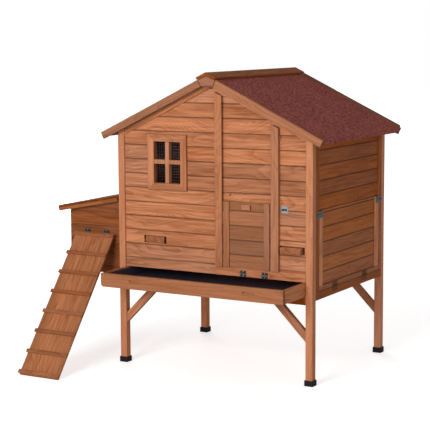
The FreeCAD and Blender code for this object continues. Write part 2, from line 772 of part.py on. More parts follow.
def pop_door():
    """Sliding door: boards held by two stiles, with a block to lift it by."""
    seam = f"({SILL_TOP} + door_first_board)"
    panel = boards("door", (DOOR_LEFT, DOOR_RIGHT), (DOOR_FRONT, DOOR_BACK), (SILL_TOP, DOOR_TOP), ("y", -1), seam)
    node("pop_door_boards", panel)
    stiles = []
    for left in (f"{BAY_LEFT} + door_stile_inset", f"{GUIDE_RIGHT} - door_stile_inset - door_stile_width"):
        depth = (f"{DOOR_FRONT} - door_stile_thick", DOOR_FRONT)
        stiles.append(span("door_stile", (left, f"{left} + door_stile_width"), depth, (SILL_TOP, DOOR_TOP)))
    node("pop_door_stiles", stiles)
    corners = rectangle(("-pull_width/2", "0"), ("pull_width/2", "pull_height"))
    place = (f"({BAY_LEFT} + {GUIDE_RIGHT})/2", DOOR_FRONT, f"{DOOR_TOP} - pull_drop - pull_height")
    block = pad("pull_block", "XZ_Plane", corners, "pull_thick", place)
    round_edges(block, "pull_corner", "y")
    node("pop_door_pull", [block])


def turn_button():
    """Metal plate beside the door with a wing that turns on it."""
    face = f"-{FACE_Y}"
    plate_face = f"({face} - button_plate_thick)"
    plate = span("button_backing", around("button_middle", "button_plate_width"), (plate_face, face),
                 around("button_height", "button_plate_height"))
    node("button_plate", [plate])
    corners = rectangle(("-button_length/2", "-button_width/2"), ("button_length/2", "button_width/2"))
    wing = pad("button_wing", "XZ_Plane", corners, "button_thick",
               ("button_middle", f"{plate_face} - button_gap", "button_height"))
    round_edges(wing, "button_width/3", "y")
    stem = rod("button_stem", "button_stem_radius", "button_gap + button_thick/2",
               ("button_middle", plate_face, "button_height"), X_AXIS, "90")
    node("turn_button", [join("button_knob", [wing, stem])])


def cord_eye():
    """Small screw eye above the turn button, beside the right guide."""
    across = f"{GUIDE_RIGHT} + guide_width + eye_radius"
    ring = DOC.addObject("Part::Torus", "eye_ring")
    ring.setExpression("Radius1", formula("eye_radius"))
    ring.setExpression("Radius2", formula("eye_wire_radius"))
    put(ring, (across, f"-{FACE_Y} - eye_shank - eye_radius", "eye_height"), Y_AXIS, "90")
    shank = rod("eye_shank", "eye_wire_radius", "eye_shank", (across, f"-{FACE_Y}", "eye_height"), X_AXIS, "90")
    node("cord_eye", [join("screw_eye", [ring, shank])])


def roost_bars():
    """Two flat bars through slots in the front wall, and the blocks that carry them."""
    bars = {"roost_bar_left": ("slot_left_middle + roost_left_offset", "roost_left_end"),
            "roost_bar_right": ("slot_right_middle", "roost_right_end")}
    rest_heights = (f"{BAR_BASE} - rest_height", BAR_BASE)
    rests = []
    for name, (middle, end) in bars.items():
        across = around(middle, "roost_width")
        node(name, [span("roost_bar", across, (end, f"{end} + roost_length"),
                         (BAR_BASE, f"{BAR_BASE} + roost_height"))])
        rests.append(span("front_rest", across, (f"-{BACK_Y}", f"-{BACK_Y} + rest_front_depth"), rest_heights))
        rests.append(span("rear_rest", across, (f"{BACK_Y} - rest_depth", BACK_Y), rest_heights))
    node("roost_rests", rests)


def hinge_leaf(name, along, turn, axis, fixed):
    """One leaf of a butt hinge about the Y axis, with its knuckles; the fixed leaf carries the pin.

    The leaf runs to the side of its own Z that the sign gives, and its plate lies at -X of the axis.
    """
    reach = outward(along, "leaf_start", "leaf_height")
    neck_reach = outward(along, "0", "leaf_start")
    plate_depth = ("-knuckle_radius", "-knuckle_radius + leaf_thick")
    pieces = [span(f"{name}_plate", plate_depth, both("hinge_length/2"), reach)]
    third = "hinge_length/6"
    inner = both(f"({third} - knuckle_gap)")
    outer = [outward(end, third, "hinge_length/2") for end in (-1, 1)]
    for low, high in (outer if fixed else [inner]):
        pieces.append(span(f"{name}_neck", plate_depth, (low, high), neck_reach))
        pieces.append(rod(f"{name}_knuckle", "knuckle_radius", f"({high}) - ({low})", ("0", high, "0"), X_AXIS, "90"))
    pin_radius = "pin_radius" if fixed else "pin_radius + pin_clearance"
    pin = rod(f"{name}_pin", pin_radius, "hinge_length", ("0", "hinge_length/2", "0"), X_AXIS, "90")
    if fixed:
        leaf = join(f"{name}_leaf", [*pieces, pin])
    else:
        leaf = cut(f"{name}_leaf", join(f"{name}_blank", pieces), pin)
    return put(leaf, axis, Y_AXIS, turn)


def hinge_pair(name, along, turn, axis, fixed):
    """The same leaf of the two hinges that share an axis, given by its X and Z."""
    return [hinge_leaf(name, along, turn, (axis[0], f"hinge_middle*({end})", axis[1]), fixed) for end in (-1, 1)]


def fixed_hinge_leaves():
    """Leaves and pins of the flap's hinges on its rail and of the lid's hinges on its header."""
    flap = hinge_pair("flap_fixed", -1, "0", FLAP_AXIS, True)
    node("fixed_hinge_leaves", flap + hinge_pair("lid_fixed", -1, "180", LID_AXIS, True))


def side_flap():
    """Drop flap of the right wall: boards, stiles, strip, hasps and hinges."""
    heights = (FLAP_BASE, FLAP_TOP)
    depth = (BACK_X, FACE_X)
    node("flap_boards", boards("flap", depth, both(FLAP_Y), heights, ("x", 1), f"({FLAP_BASE} + flap_first_board)"))
    pieces = []
    for end in (-1, 1):
        stile_reach = outward(end, f"{FLAP_Y} - stile_width", FLAP_Y)
        pieces.append(span("flap_stile", (FACE_X, HALF_W), stile_reach, heights))
    pieces.append(span("flap_strip_board", (FACE_X, HALF_W), both(f"({FLAP_Y} - stile_width)"),
                       (FLAP_BASE, f"{FLAP_BASE} + flap_strip")))
    node("flap_frame", pieces)
    node("flap_hasps", [hasp(end) for end in (-1, 1)])
    for end, name in ((-1, "front"), (1, "rear")):
        node(f"hasp_staple_{name}", [hasp_staple(end)])
    node("flap_hinge_leaves", hinge_pair("flap_moving", 1, "0", FLAP_AXIS, False))





def hasp(end):
    """Slotted plate from the flap's stile over the wall's stile."""
    lap_far = f"{BAY_Y} + hasp_lap"
    along = outward(end, f"{lap_far} - hasp_length", lap_far)
    corners = rectangle((along[0], "-hasp_height/2"), (along[1], "hasp_height/2"))
    plate = pad("hasp", "YZ_Plane", corners, "hasp_thick", (HALF_W, "0", HASP_Z))
    round_edges(plate, "hasp_corner", "x")
    slot_length = "(staple_head_length + 2*staple_clearance)"
    slot_width = "(staple_head_width + 2*staple_clearance)"
    middle = f"({BAY_Y} + hasp_lap/2)*({end})"
    slot_low, slot_high = around(middle, slot_length)
    slot = rectangle((slot_low, f"-{slot_width}/2"), (slot_high, f"{slot_width}/2"))
    pocket(plate, "hasp_slot", "YZ_Plane", slot, "hasp_thick", "hasp_thick")
    return plate


def hasp_staple(end):
    """Turning staple that stands through the hasp's slot."""
    middle = f"({BAY_Y} + hasp_lap/2)*({end})"
    corners = rectangle(("-staple_head_length/2", "-staple_head_width/2"),
                        ("staple_head_length/2", "staple_head_width/2"))
    gap = "(hasp_thick + staple_clearance)"
    head = pad("staple_head", "YZ_Plane", corners, "staple_head_thick", (f"{HALF_W} + {gap}", middle, HASP_Z))
    round_edges(head, "staple_round", "x")
    stem = rod("staple_stem", "staple_stem_radius", f"{gap} + staple_head_thick/2",
               (HALF_W, middle, HASP_Z), Y_AXIS, "90")
    return join("staple", [head, stem])


def nest_box():
    """Walls, floor and dividers of the nest box on the left wall."""
    slope = ("lid_pitch", LID_EDGE_X, LID_UNDER)
    above = slope_box("above_nest", -1, slope, ("-nest_reach", "2*nest_reach"), ("0", "nest_reach"), both(HALF_D))
    across = outward(-1, HALF_W, NEST_OUT)
    walls = []
    for end in (-1, 1):
        depth = outward(end, NEST_INNER_Y, NEST_Y)
        walls += boards("nest_side", across, depth, ("side_rail_top", LID_UNDER), ("y", end))
    end_top = f"({LID_UNDER} - (nest_reach - nest_board_thick - lid_wall_gap)*tan(lid_pitch))"
    outer = outward(-1, f"({NEST_OUT} - nest_board_thick)", NEST_OUT)
    walls += boards("nest_end", outer, both(NEST_INNER_Y), ("side_rail_top", end_top), ("x", -1))
    node("nest_walls", [cut("nest_wall_cut", wall, above) for wall in walls])
    inside = outward(-1, HALF_W, f"({NEST_OUT} - nest_board_thick)")
    floor_top = "(side_rail_top + nest_board_thick)"
    node("nest_floor", [span("nest_floor_board", inside, both(NEST_INNER_Y), ("side_rail_top", floor_top))])
    dividers = []
    for end in (-1, 1):
        depth = around(f"divider_spacing/2*({end})", "nest_board_thick")
        dividers.append(span("divider", inside, depth, (floor_top, f"{floor_top} + divider_height")))
    node("nest_dividers", dividers)


def nest_lid():
    """Sloping lid of the nest box: boards, battens under its edges, felt and hinges."""
    length = "(lid_reach/cos(lid_pitch))"
    under = "-(felt_thick + lid_board_thick)"
    third = f"({length}/3)"
    planks = []
    for count in range(3):
        reach = (f"{count}*{third}", f"{count + 1}*{third}")
        planks.append(slope_box("lid_plank", -1, LID, reach, (under, "-felt_thick"), both(HALF_D)))
    node("lid_boards", planks)
    node("lid_felt", [slope_box("lid_sheet", -1, LID, ("0", length), ("-felt_thick", "0"), both(HALF_D))])
    up_range = (f"{under} - lid_batten_height", under)
    outer_start = f"({length} - lid_batten_width)"
    battens = [slope_box("outer_batten", -1, LID, (outer_start, length), up_range, both(HALF_D))]
    for end in (-1, 1):
        depth = outward(end, f"({HALF_D} - lid_batten_width)", HALF_D)
        battens.append(slope_box("end_batten", -1, LID, ("lid_batten_start", outer_start), up_range, depth))
    node("lid_battens", battens)
    node("lid_hinge_leaves", hinge_pair("lid_moving", 1, "-90 - lid_pitch", LID_AXIS, False))


def tray():
    """Pull-out tray: front with finger slots, sides, bottom, liner and the runners under it."""
    heights = (TRAY_BASE, f"{TRAY_BASE} + tray_height")
    corners = rectangle((f"-{TRAY_SIDE_X}", "0"), (TRAY_SIDE_X, "tray_height"))
    front = pad("tray_board", "XZ_Plane", corners, "tray_front_thick", ("0", TRAY_INNER_FRONT, TRAY_BASE))
    round_edges(front, "tray_corner", "y", lambda away: away.x < 0 and away.z < 0)
    slots = join("finger_slots", [finger_slot(side) for side in (-1, 1)])
    node("tray_front", [cut("tray_front_slotted", front, slots)])
    length = (TRAY_INNER_FRONT, TRAY_BACK_Y)
    sides = [span("tray_side", outward(side, TRAY_INNER_X, TRAY_SIDE_X), length, heights) for side in (1, -1)]
    rear = span("tray_rear", both(TRAY_INNER_X), (TRAY_INNER_BACK, TRAY_BACK_Y), heights)
    node("tray_sides", [*sides, rear])
    inner = (TRAY_INNER_FRONT, TRAY_INNER_BACK)
    node("tray_bottom", [span("tray_panel", both(TRAY_INNER_X), inner, (TRAY_FLOOR, TRAY_LINER_BASE))])
    liner_top = f"({TRAY_BASE} + tray_height - liner_drop)"
    outer = span("liner_outer", both(TRAY_INNER_X), inner, (TRAY_LINER_BASE, liner_top))
    hollow = span("liner_hollow", both(f"({TRAY_INNER_X} - liner_thick)"),
                  (f"{inner[0]} + liner_thick", f"{inner[1]} - liner_thick"),
                  (f"{TRAY_LINER_BASE} + liner_thick", "ridge_height"))
    node("tray_liner", [cut("liner_shell", outer, hollow)])
    runners = []
    for side in (1, -1):
        across = outward(side, f"({INNER_X} - runner_width)", INNER_X)
        runners.append(span("runner", across, both(INNER_Y), ("tray_rail_top - runner_height", "tray_rail_top")))
    node("tray_runners", runners)


def finger_slot(side):
    """Round-ended recess in the tray's front."""
    middle = f"(finger_slot_offset + finger_slot_spacing/2*({side}))"
    radius = "finger_slot_height/2"
    straight = "(finger_slot_length - finger_slot_height)"
    depth = (f"{TRAY_FRONT_Y} - finger_slot_depth", f"{TRAY_FRONT_Y} + finger_slot_depth")
    base = f"{TRAY_BASE} + finger_slot_base"
    pieces = [span("slot_middle", around(middle, straight), depth, (base, f"{base} + finger_slot_height"))]
    for end in (-1, 1):
        place = (f"{middle} + {straight}/2*({end})", depth[1], f"{base} + {radius}")
        pieces.append(rod("slot_end", radius, "2*finger_slot_depth", place, X_AXIS, "90"))
    return join("finger_slot", pieces)


def on_ramp(name, pieces):
    """Pieces laid out along the ramp's own length, stood at its slope with its foot on the ground."""
    group = DOC.addObject("Part::Compound", name)
    group.Links = pieces
    return put(group, ("ramp_middle", RAMP_FOOT_Y, "0"), X_AXIS, "ramp_pitch")


def ramp():
    """Ramp board with its cleats and the two hooks at its upper end."""
    board = span("ramp_plank", both("ramp_width/2"), ("0", RAMP_LENGTH), ("0", "ramp_thick"))
    node("ramp_board", [on_ramp("ramp_board_stood", [board])])
    cleats = []
    for count in range(int(value(f"({RAMP_LENGTH} - cleat_first - cleat_width)/cleat_pitch")) + 1):
        start = f"cleat_first + {count}*cleat_pitch"
        cleats.append(span("cleat", both("(ramp_width/2 + cleat_overhang)"), (start, f"{start} + cleat_width"),
                           ("ramp_thick", "ramp_thick + cleat_thick")))
    node("ramp_cleats", [on_ramp("ramp_cleats_stood", cleats)])
    node("ramp_hooks", [on_ramp("ramp_hooks_stood", [ramp_hook(side) for side in (-1, 1)])])


def ramp_hook(side):
    """Strap under the ramp's upper end, with a tongue that curls over the bar of the catch."""
    middle = f"hook_spacing/2*({side})"
    thick = ("-hook_thick", "0")
    strap = span("hook_strap", around(middle, "hook_width"), (f"{RAMP_LENGTH} - hook_length", RAMP_LENGTH), thick)
    across = around(middle, "hook_tongue_width")
    tongue = span("hook_tongue", across, (RAMP_LENGTH, HOOK_REACH), thick)
    place = (across[0], HOOK_REACH, HOOK_RISE)
    full = rod("curl_full", f"{HOOK_RISE} + hook_thick", "hook_tongue_width", place, Y_AXIS, "90")
    bore = rod("curl_bore", HOOK_RISE, "hook_tongue_width", place, Y_AXIS, "90")
    reach = f"2*({HOOK_RISE} + hook_thick)"
    half = span("curl_half", across, (HOOK_REACH, f"{HOOK_REACH} + {reach}"), ("-hook_thick", reach))
    curl = keep("hook_curl", cut("curl_ring", full, bore), half)
    return join("ramp_hook", [strap, tongue, curl])


def ramp_catches():
    """Plates with a round bar that the ramp hooks onto: at the nest box and under the pop door."""
    places = []
    for side in (-1, 1):
        places.append((f"ramp_middle + hook_spacing/2*({side})", f"(-{NEST_Y})", "hook_height"))
        places.append((f"sill_catch_middle + hook_spacing/2*({side})", f"(-{HALF_D})", "sill_catch_height"))
    plates = []
    staples = []
    for middle, face, level in places:
        front = f"({face} - catch_thick)"
        plates.append(span("catch_plate", around(middle, "catch_size"), (front, face), around(level, "catch_size")))
        staples.append(catch_staple(middle, front, level))
    node("catch_plates", plates)
    node("catch_staples", staples)


def catch_staple(middle, front, level):
    """Two ears on a catch plate with the bar between them."""
    reach = f"({front} - catch_standoff - bar_radius - catch_ear_margin)"
    tall = around(level, "2*(bar_radius + catch_ear_margin)")
    pieces = []
    for end in (-1, 1):
        low, high = outward(end, "catch_ear_gap/2", "(catch_ear_gap/2 + catch_ear_width)")
        pieces.append(span("catch_ear", (f"{middle} + ({low})", f"{middle} + ({high})"), (reach, front), tall))
    place = (f"{middle} - catch_ear_gap/2", f"{front} - catch_standoff", level)
    pieces.append(rod("catch_bar", "bar_radius", "catch_ear_gap", place, Y_AXIS, "90"))
    return join("staple_bar", pieces)


def frame_screws():
    """Screw heads on the front and rear faces of the posts."""
    pieces = []
    for side, end in CORNERS:
        for level in ("screw_high", "screw_low"):
            place = (f"({INNER_X} + post_size/2)*({side})", f"{HALF_D}*({end})", level)
            pieces.append(rod("screw", "screw_radius", "screw_head", place, X_AXIS, f"-90*({end})"))
    node("frame_screws", pieces)


def centre_on_ground():
    """Shift every sub-part so that the origin is on the ground under the middle of the whole box."""
    DOC.recompute()
    whole = FreeCAD.BoundBox()
    for piece in NODES:
        whole.add(piece.Shape.BoundBox)
    for name, middle in (("shift_x", whole.Center.x), ("shift_y", whole.Center.y)):
        SHEET.set(SHEET.getCellFromAlias(name), f"{-middle:.3f}")
    DOC.recompute()


def check_document():
    """Stop if any object failed or any sub-part has no sound shape."""
    for piece in DOC.Objects:
        if {"Invalid", "Error"} & set(piece.State):
            raise RuntimeError(f"{piece.Label} failed: {piece.State}")
    for piece in NODES:
        if piece.Shape.isNull() or not piece.Shape.isValid() or not piece.Shape.Solids:
            raise RuntimeError(f"{piece.Label} has no sound solid")


def write_parts():
    """Write each sub-part to a file named after it."""
    os.makedirs("parts", exist_ok=True)
    for piece in NODES:
        piece.Shape.exportStep(f"parts/{piece.Label}.step")
        print(f"{piece.Label}: {len(piece.Shape.Solids)} solids")


def main():
    """Build the whole coop, check it and write its sub-parts."""
    fill_sheet()
    roof_space = above_slopes("roof_space", ROOF_UNDER)
    posts(roof_space)
    foot_caps()
    bottom_rails()
    front_frame(roof_space)
    side_frame(roof_space)
    corner_braces()
    front_cladding(roof_space)
    other_cladding(roof_space)
    gable_trims()
    roof()
    ridge(roof_space)
    window()
    window_mesh()
    door_guides()
    pop_door()
    turn_button()
    cord_eye()
    roost_bars()
    side_flap()
    nest_box()
    nest_lid()
    fixed_hinge_leaves()
    tray()
    ramp()
    ramp_catches()
    frame_screws()
    centre_on_ground()
    check_document()
    write_parts()


main()
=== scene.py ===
"""A raised chicken coop in stained fir, with a felt roof, nest box, litter tray and ramp.

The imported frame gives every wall, board and fitting its place. This script gives them their finishes and
softened edges, adds the small round parts that the frame holds only as blocks, and sets up a plain studio.
"""
import sys
import logging
import math
from dataclasses import dataclass, field
from enum import Enum
from typing import Any, Iterable, Protocol, Sequence

import bmesh
import bpy
from mathutils import Matrix, Vector


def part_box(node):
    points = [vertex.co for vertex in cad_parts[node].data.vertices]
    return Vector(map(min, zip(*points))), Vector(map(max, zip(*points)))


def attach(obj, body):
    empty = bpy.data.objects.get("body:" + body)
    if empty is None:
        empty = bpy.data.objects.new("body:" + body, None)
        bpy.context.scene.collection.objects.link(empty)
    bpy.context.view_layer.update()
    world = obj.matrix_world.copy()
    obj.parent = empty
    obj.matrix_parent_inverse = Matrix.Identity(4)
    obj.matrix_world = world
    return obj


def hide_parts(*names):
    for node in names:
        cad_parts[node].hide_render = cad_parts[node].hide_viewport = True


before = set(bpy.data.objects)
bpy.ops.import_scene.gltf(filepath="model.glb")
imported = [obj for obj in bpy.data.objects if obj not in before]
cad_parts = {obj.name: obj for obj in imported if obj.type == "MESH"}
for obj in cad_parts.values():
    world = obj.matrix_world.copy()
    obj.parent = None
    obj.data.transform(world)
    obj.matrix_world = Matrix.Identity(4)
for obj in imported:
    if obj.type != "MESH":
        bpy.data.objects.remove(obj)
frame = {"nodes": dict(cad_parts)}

bpy.context.view_layer.update()
LOG = logging.getLogger("coop")
MM = 0.001
BOARD_PITCH = 65.4 * MM
HOUSE_MIDDLE_X = sum(corner.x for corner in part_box("ridge_caps")) / 2
ROOF_PITCH = math.radians(25.5)
LID_PITCH = math.radians(10.9)
RAMP_PITCH = math.radians(52.0)
Colour = tuple[float, float, float]
Socket = bpy.types.NodeSocket
Corners = list[bmesh.types.BMVert]


class Grain(Enum):
    """The way that a board's grain runs, as its along, across and through directions."""

    ALONG_X = ((1, 0, 0), (0, 0, 1), (0, 1, 0))
    ALONG_Y = ((0, 1, 0), (0, 0, 1), (1, 0, 0))
    FLAT_Y = ((0, 1, 0), (1, 0, 0), (0, 0, 1))
    UPRIGHT = ((0, 0, 1), (1, 0, 0), (0, 1, 0))
    UPRIGHT_SIDE = ((0, 0, 1), (0, 1, 0), (1, 0, 0))
    ROOF_SLOPE = (
        (math.cos(ROOF_PITCH), 0, -math.sin(ROOF_PITCH)),
        (math.sin(ROOF_PITCH), 0, math.cos(ROOF_PITCH)),
        (0, 1, 0),
    )
    BRACE = ((math.sqrt(0.5), 0, -math.sqrt(0.5)), (math.sqrt(0.5), 0, math.sqrt(0.5)), (0, 1, 0))
    LID_SLOPE = (
        (math.cos(LID_PITCH), 0, math.sin(LID_PITCH)),
        (-math.sin(LID_PITCH), 0, math.cos(LID_PITCH)),
        (0, 1, 0),
    )
    RAMP = (
        (0, math.cos(RAMP_PITCH), math.sin(RAMP_PITCH)),
        (1, 0, 0),
        (0, -math.sin(RAMP_PITCH), math.cos(RAMP_PITCH)),
    )
    MITRED = ((1, 0, 0), (0, 0, 1), (0, -1, 0))

    @property
    def mirrored(self) -> bool:
        """Whether the left half of the house mirrors the right half's grain."""
        return self in (Grain.ROOF_SLOPE, Grain.BRACE)


class Stain(Enum):
    """The early wood's and late wood's colours for each group of timbers. Some groups are darker copies of the stain
    that paint in shade, as noted on each.
    """

    WALL = ((0.560, 0.226, 0.110), (0.300, 0.100, 0.038))
    POST = ((0.640, 0.272, 0.140), (0.460, 0.165, 0.074))
    # Partly painted shade: a darker, redder copy of the wall stain for the side walls and for the rails, roof boards
    # and tray parts that mostly lie in shade.
    SIDE = ((0.440, 0.128, 0.030), (0.250, 0.057, 0.010))
    # Painted shade: this stain is made very dark for the shade on the rear bargeboard's inner face.
    SHADED_VERGE = ((0.150, 0.058, 0.026), (0.085, 0.028, 0.010))
    ROOF_TRIM = ((0.375, 0.154, 0.078), (0.240, 0.084, 0.035))
    TRAY = ((0.360, 0.148, 0.072), (0.260, 0.092, 0.040))
    RAMP = ((0.405, 0.158, 0.073), (0.240, 0.080, 0.030))
    CLEAT = ((0.380, 0.130, 0.046), (0.240, 0.070, 0.020))
    # Partly the timber's own stain, partly painted shade: darkened for the nest box, which lies partly in the ramp's
    # shadow.
    NEST_STAIN_AND_SHADE = ((0.285, 0.088, 0.028), (0.160, 0.042, 0.011))
    FLAP = ((0.520, 0.172, 0.054), (0.310, 0.084, 0.022))


class Bench:
    """Builds one material's nodes."""

    def __init__(self, name: str) -> None:
        """Starts a material that has only its shader and output."""
        self.material = bpy.data.materials.new(name)
        self.material.use_nodes = True
        self.tree = self.material.node_tree
        self.shader = self.tree.nodes["Principled BSDF"]

    def node(self, kind: str, **settings: Any) -> bpy.types.Node:
        """Adds a node.

        Args:
            kind: the node's Blender type.
            settings: its properties by name.

        Returns:
            The new node.
        """
        made = self.tree.nodes.new(kind)
        for name, setting in settings.items():
            setattr(made, name, setting)
        return made

    def feed(self, socket: Socket, source: Socket | float | Sequence[float]) -> None:
        """Links a source to an input, or sets the input where the source is a plain value."""
        if isinstance(source, bpy.types.NodeSocket):
            self.tree.links.new(source, socket)
        else:
            socket.default_value = source

    def sum(self, operation: str, *terms: Socket | float, clamp: bool = False) -> Socket:
        """Works out one step of arithmetic.

        Args:
            operation: the Math node's operation.
            terms: its inputs in order.
            clamp: whether the result is held between 0 and 1.

        Returns:
            The result's socket.
        """
        made = self.node("ShaderNodeMath", operation=operation, use_clamp=clamp)
        for socket, term in zip(made.inputs, terms):
            self.feed(socket, term)
        return made.outputs[0]

    def dot(self, vector: Socket, axis: Sequence[float]) -> Socket:
        """Measures a vector along a fixed direction."""
        made = self.node("ShaderNodeVectorMath", operation="DOT_PRODUCT")
        self.feed(made.inputs[0], vector)
        self.feed(made.inputs[1], axis)
        return made.outputs["Value"]

    def scaled(self, vector: Socket, factors: Sequence[float]) -> Socket:
        """Multiplies a vector's three parts by three factors."""
        made = self.node("ShaderNodeVectorMath", operation="MULTIPLY")
        self.feed(made.inputs[0], vector)
        self.feed(made.inputs[1], factors)
        return made.outputs[0]

    def joined(self, *parts: Socket | float) -> Socket:
        """Makes a vector of three parts."""
        made = self.node("ShaderNodeCombineXYZ")
        for socket, part in zip(made.inputs, parts):
            self.feed(socket, part)
        return made.outputs[0]

    def parted(self, vector: Socket) -> list[Socket]:
        """Splits a vector into its three parts."""
        made = self.node("ShaderNodeSeparateXYZ")
        self.feed(made.inputs[0], vector)
        return list(made.outputs)

    def noise(self, vector: Socket, scale: float = 1.0, detail: float = 2.0, rough: float = 0.5) -> Socket:
        """Gives a smooth random value from 0 to 1.

        Args:
            vector: where the value is taken.
            scale: how many features there are to a unit.
            detail: how many finer layers are added.
            rough: how strong each finer layer is.

        Returns:
            The value's socket.
        """
        made = self.node("ShaderNodeTexNoise")
        self.feed(made.inputs["Vector"], vector)
        made.inputs["Scale"].default_value = scale
        made.inputs["Detail"].default_value = detail
        made.inputs["Roughness"].default_value = rough
        return made.outputs["Fac"]

    def lottery(self, number: Socket) -> bpy.types.Node:
        """Draws a random value and colour that depend on a number only."""
        made = self.node("ShaderNodeTexWhiteNoise", noise_dimensions="1D")
        self.feed(made.inputs["W"], number)
        return made

    def cells(self, vector: Socket, scale: float) -> tuple[Socket, Socket]:
        """Divides space into random cells.

        Args:
            vector: where the cells are looked up.
            scale: how many cells there are to a unit.

        Returns:
            The distance from the cell's middle and a random value for each cell.
        """
        made = self.node("ShaderNodeTexVoronoi")
        self.feed(made.inputs["Vector"], vector)
        made.inputs["Scale"].default_value = scale
        split = self.node("ShaderNodeSeparateColor")
        self.feed(split.inputs[0], made.outputs["Color"])
        return made.outputs["Distance"], split.outputs[0]

    def between(self, value: Socket, low: float, high: float, first: float = 0.0, last: float = 1.0) -> Socket:
        """Moves a value from one range to another, held inside it.

        Args:
            value: the value to move.
            low: where the first range starts.
            high: where the first range ends.
            first: what low becomes.
            last: what high becomes.

        Returns:
            The moved value's socket.
        """
        made = self.node("ShaderNodeMapRange", interpolation_type="SMOOTHSTEP")
        for socket, term in zip(made.inputs, (value, low, high, first, last)):
            self.feed(socket, term)
        return made.outputs[0]

    def mixed(self, share: Socket, first: Socket | Colour, second: Socket | Colour) -> Socket:
        """Mixes two colours.

        Args:
            share: how much of the second colour is taken.
            first: the first colour, a socket or three numbers.
            second: the second colour, a socket or three numbers.

        Returns:
            The mixed colour's socket.
        """
        made = self.node("ShaderNodeMix", data_type="RGBA")
        self.feed(made.inputs[0], share)
        for socket, colour in zip(made.inputs[6:8], (first, second)):
            self.feed(socket, colour if isinstance(colour, bpy.types.NodeSocket) else (*colour, 1.0))
        return made.outputs[2]

    def toned(self, colour: Socket, value: Socket | float, saturation: Socket | float = 1.0) -> Socket:
        """Lightens or darkens a colour and makes it duller or stronger."""
        made = self.node("ShaderNodeHueSaturation")
        self.feed(made.inputs["Color"], colour)
        self.feed(made.inputs["Value"], value)
        self.feed(made.inputs["Saturation"], saturation)
        return made.outputs[0]

    def surface(self, colour: Socket, rough: Socket | float, specular: float = 0.5) -> None:
        """Gives the shader its colour, roughness and specular level."""
        for name, source in (("Base Color", colour), ("Roughness", rough), ("Specular IOR Level", specular)):
            self.feed(self.shader.inputs[name], source)

    def raised(self, height: Socket, strength: float, distance: float) -> None:
        """Gives the shader small relief from a height."""
        made = self.node("ShaderNodeBump")
        made.inputs["Strength"].default_value = strength
        made.inputs["Distance"].default_value = distance
        self.feed(made.inputs["Height"], height)
        self.feed(self.shader.inputs["Normal"], made.outputs[0])

    def place(self) -> Socket:
        """Gives the surface's place in metres, which moves with its body."""
        return self.node("ShaderNodeTexCoord").outputs["Object"]

    def facing(self) -> Socket:
        """Gives the surface's own outward direction."""
        return self.node("ShaderNodeTexCoord").outputs["Normal"]


class Finish(Protocol):
    """What every finish can do."""

    def make(self) -> bpy.types.Material:
        """Builds the finish's material."""


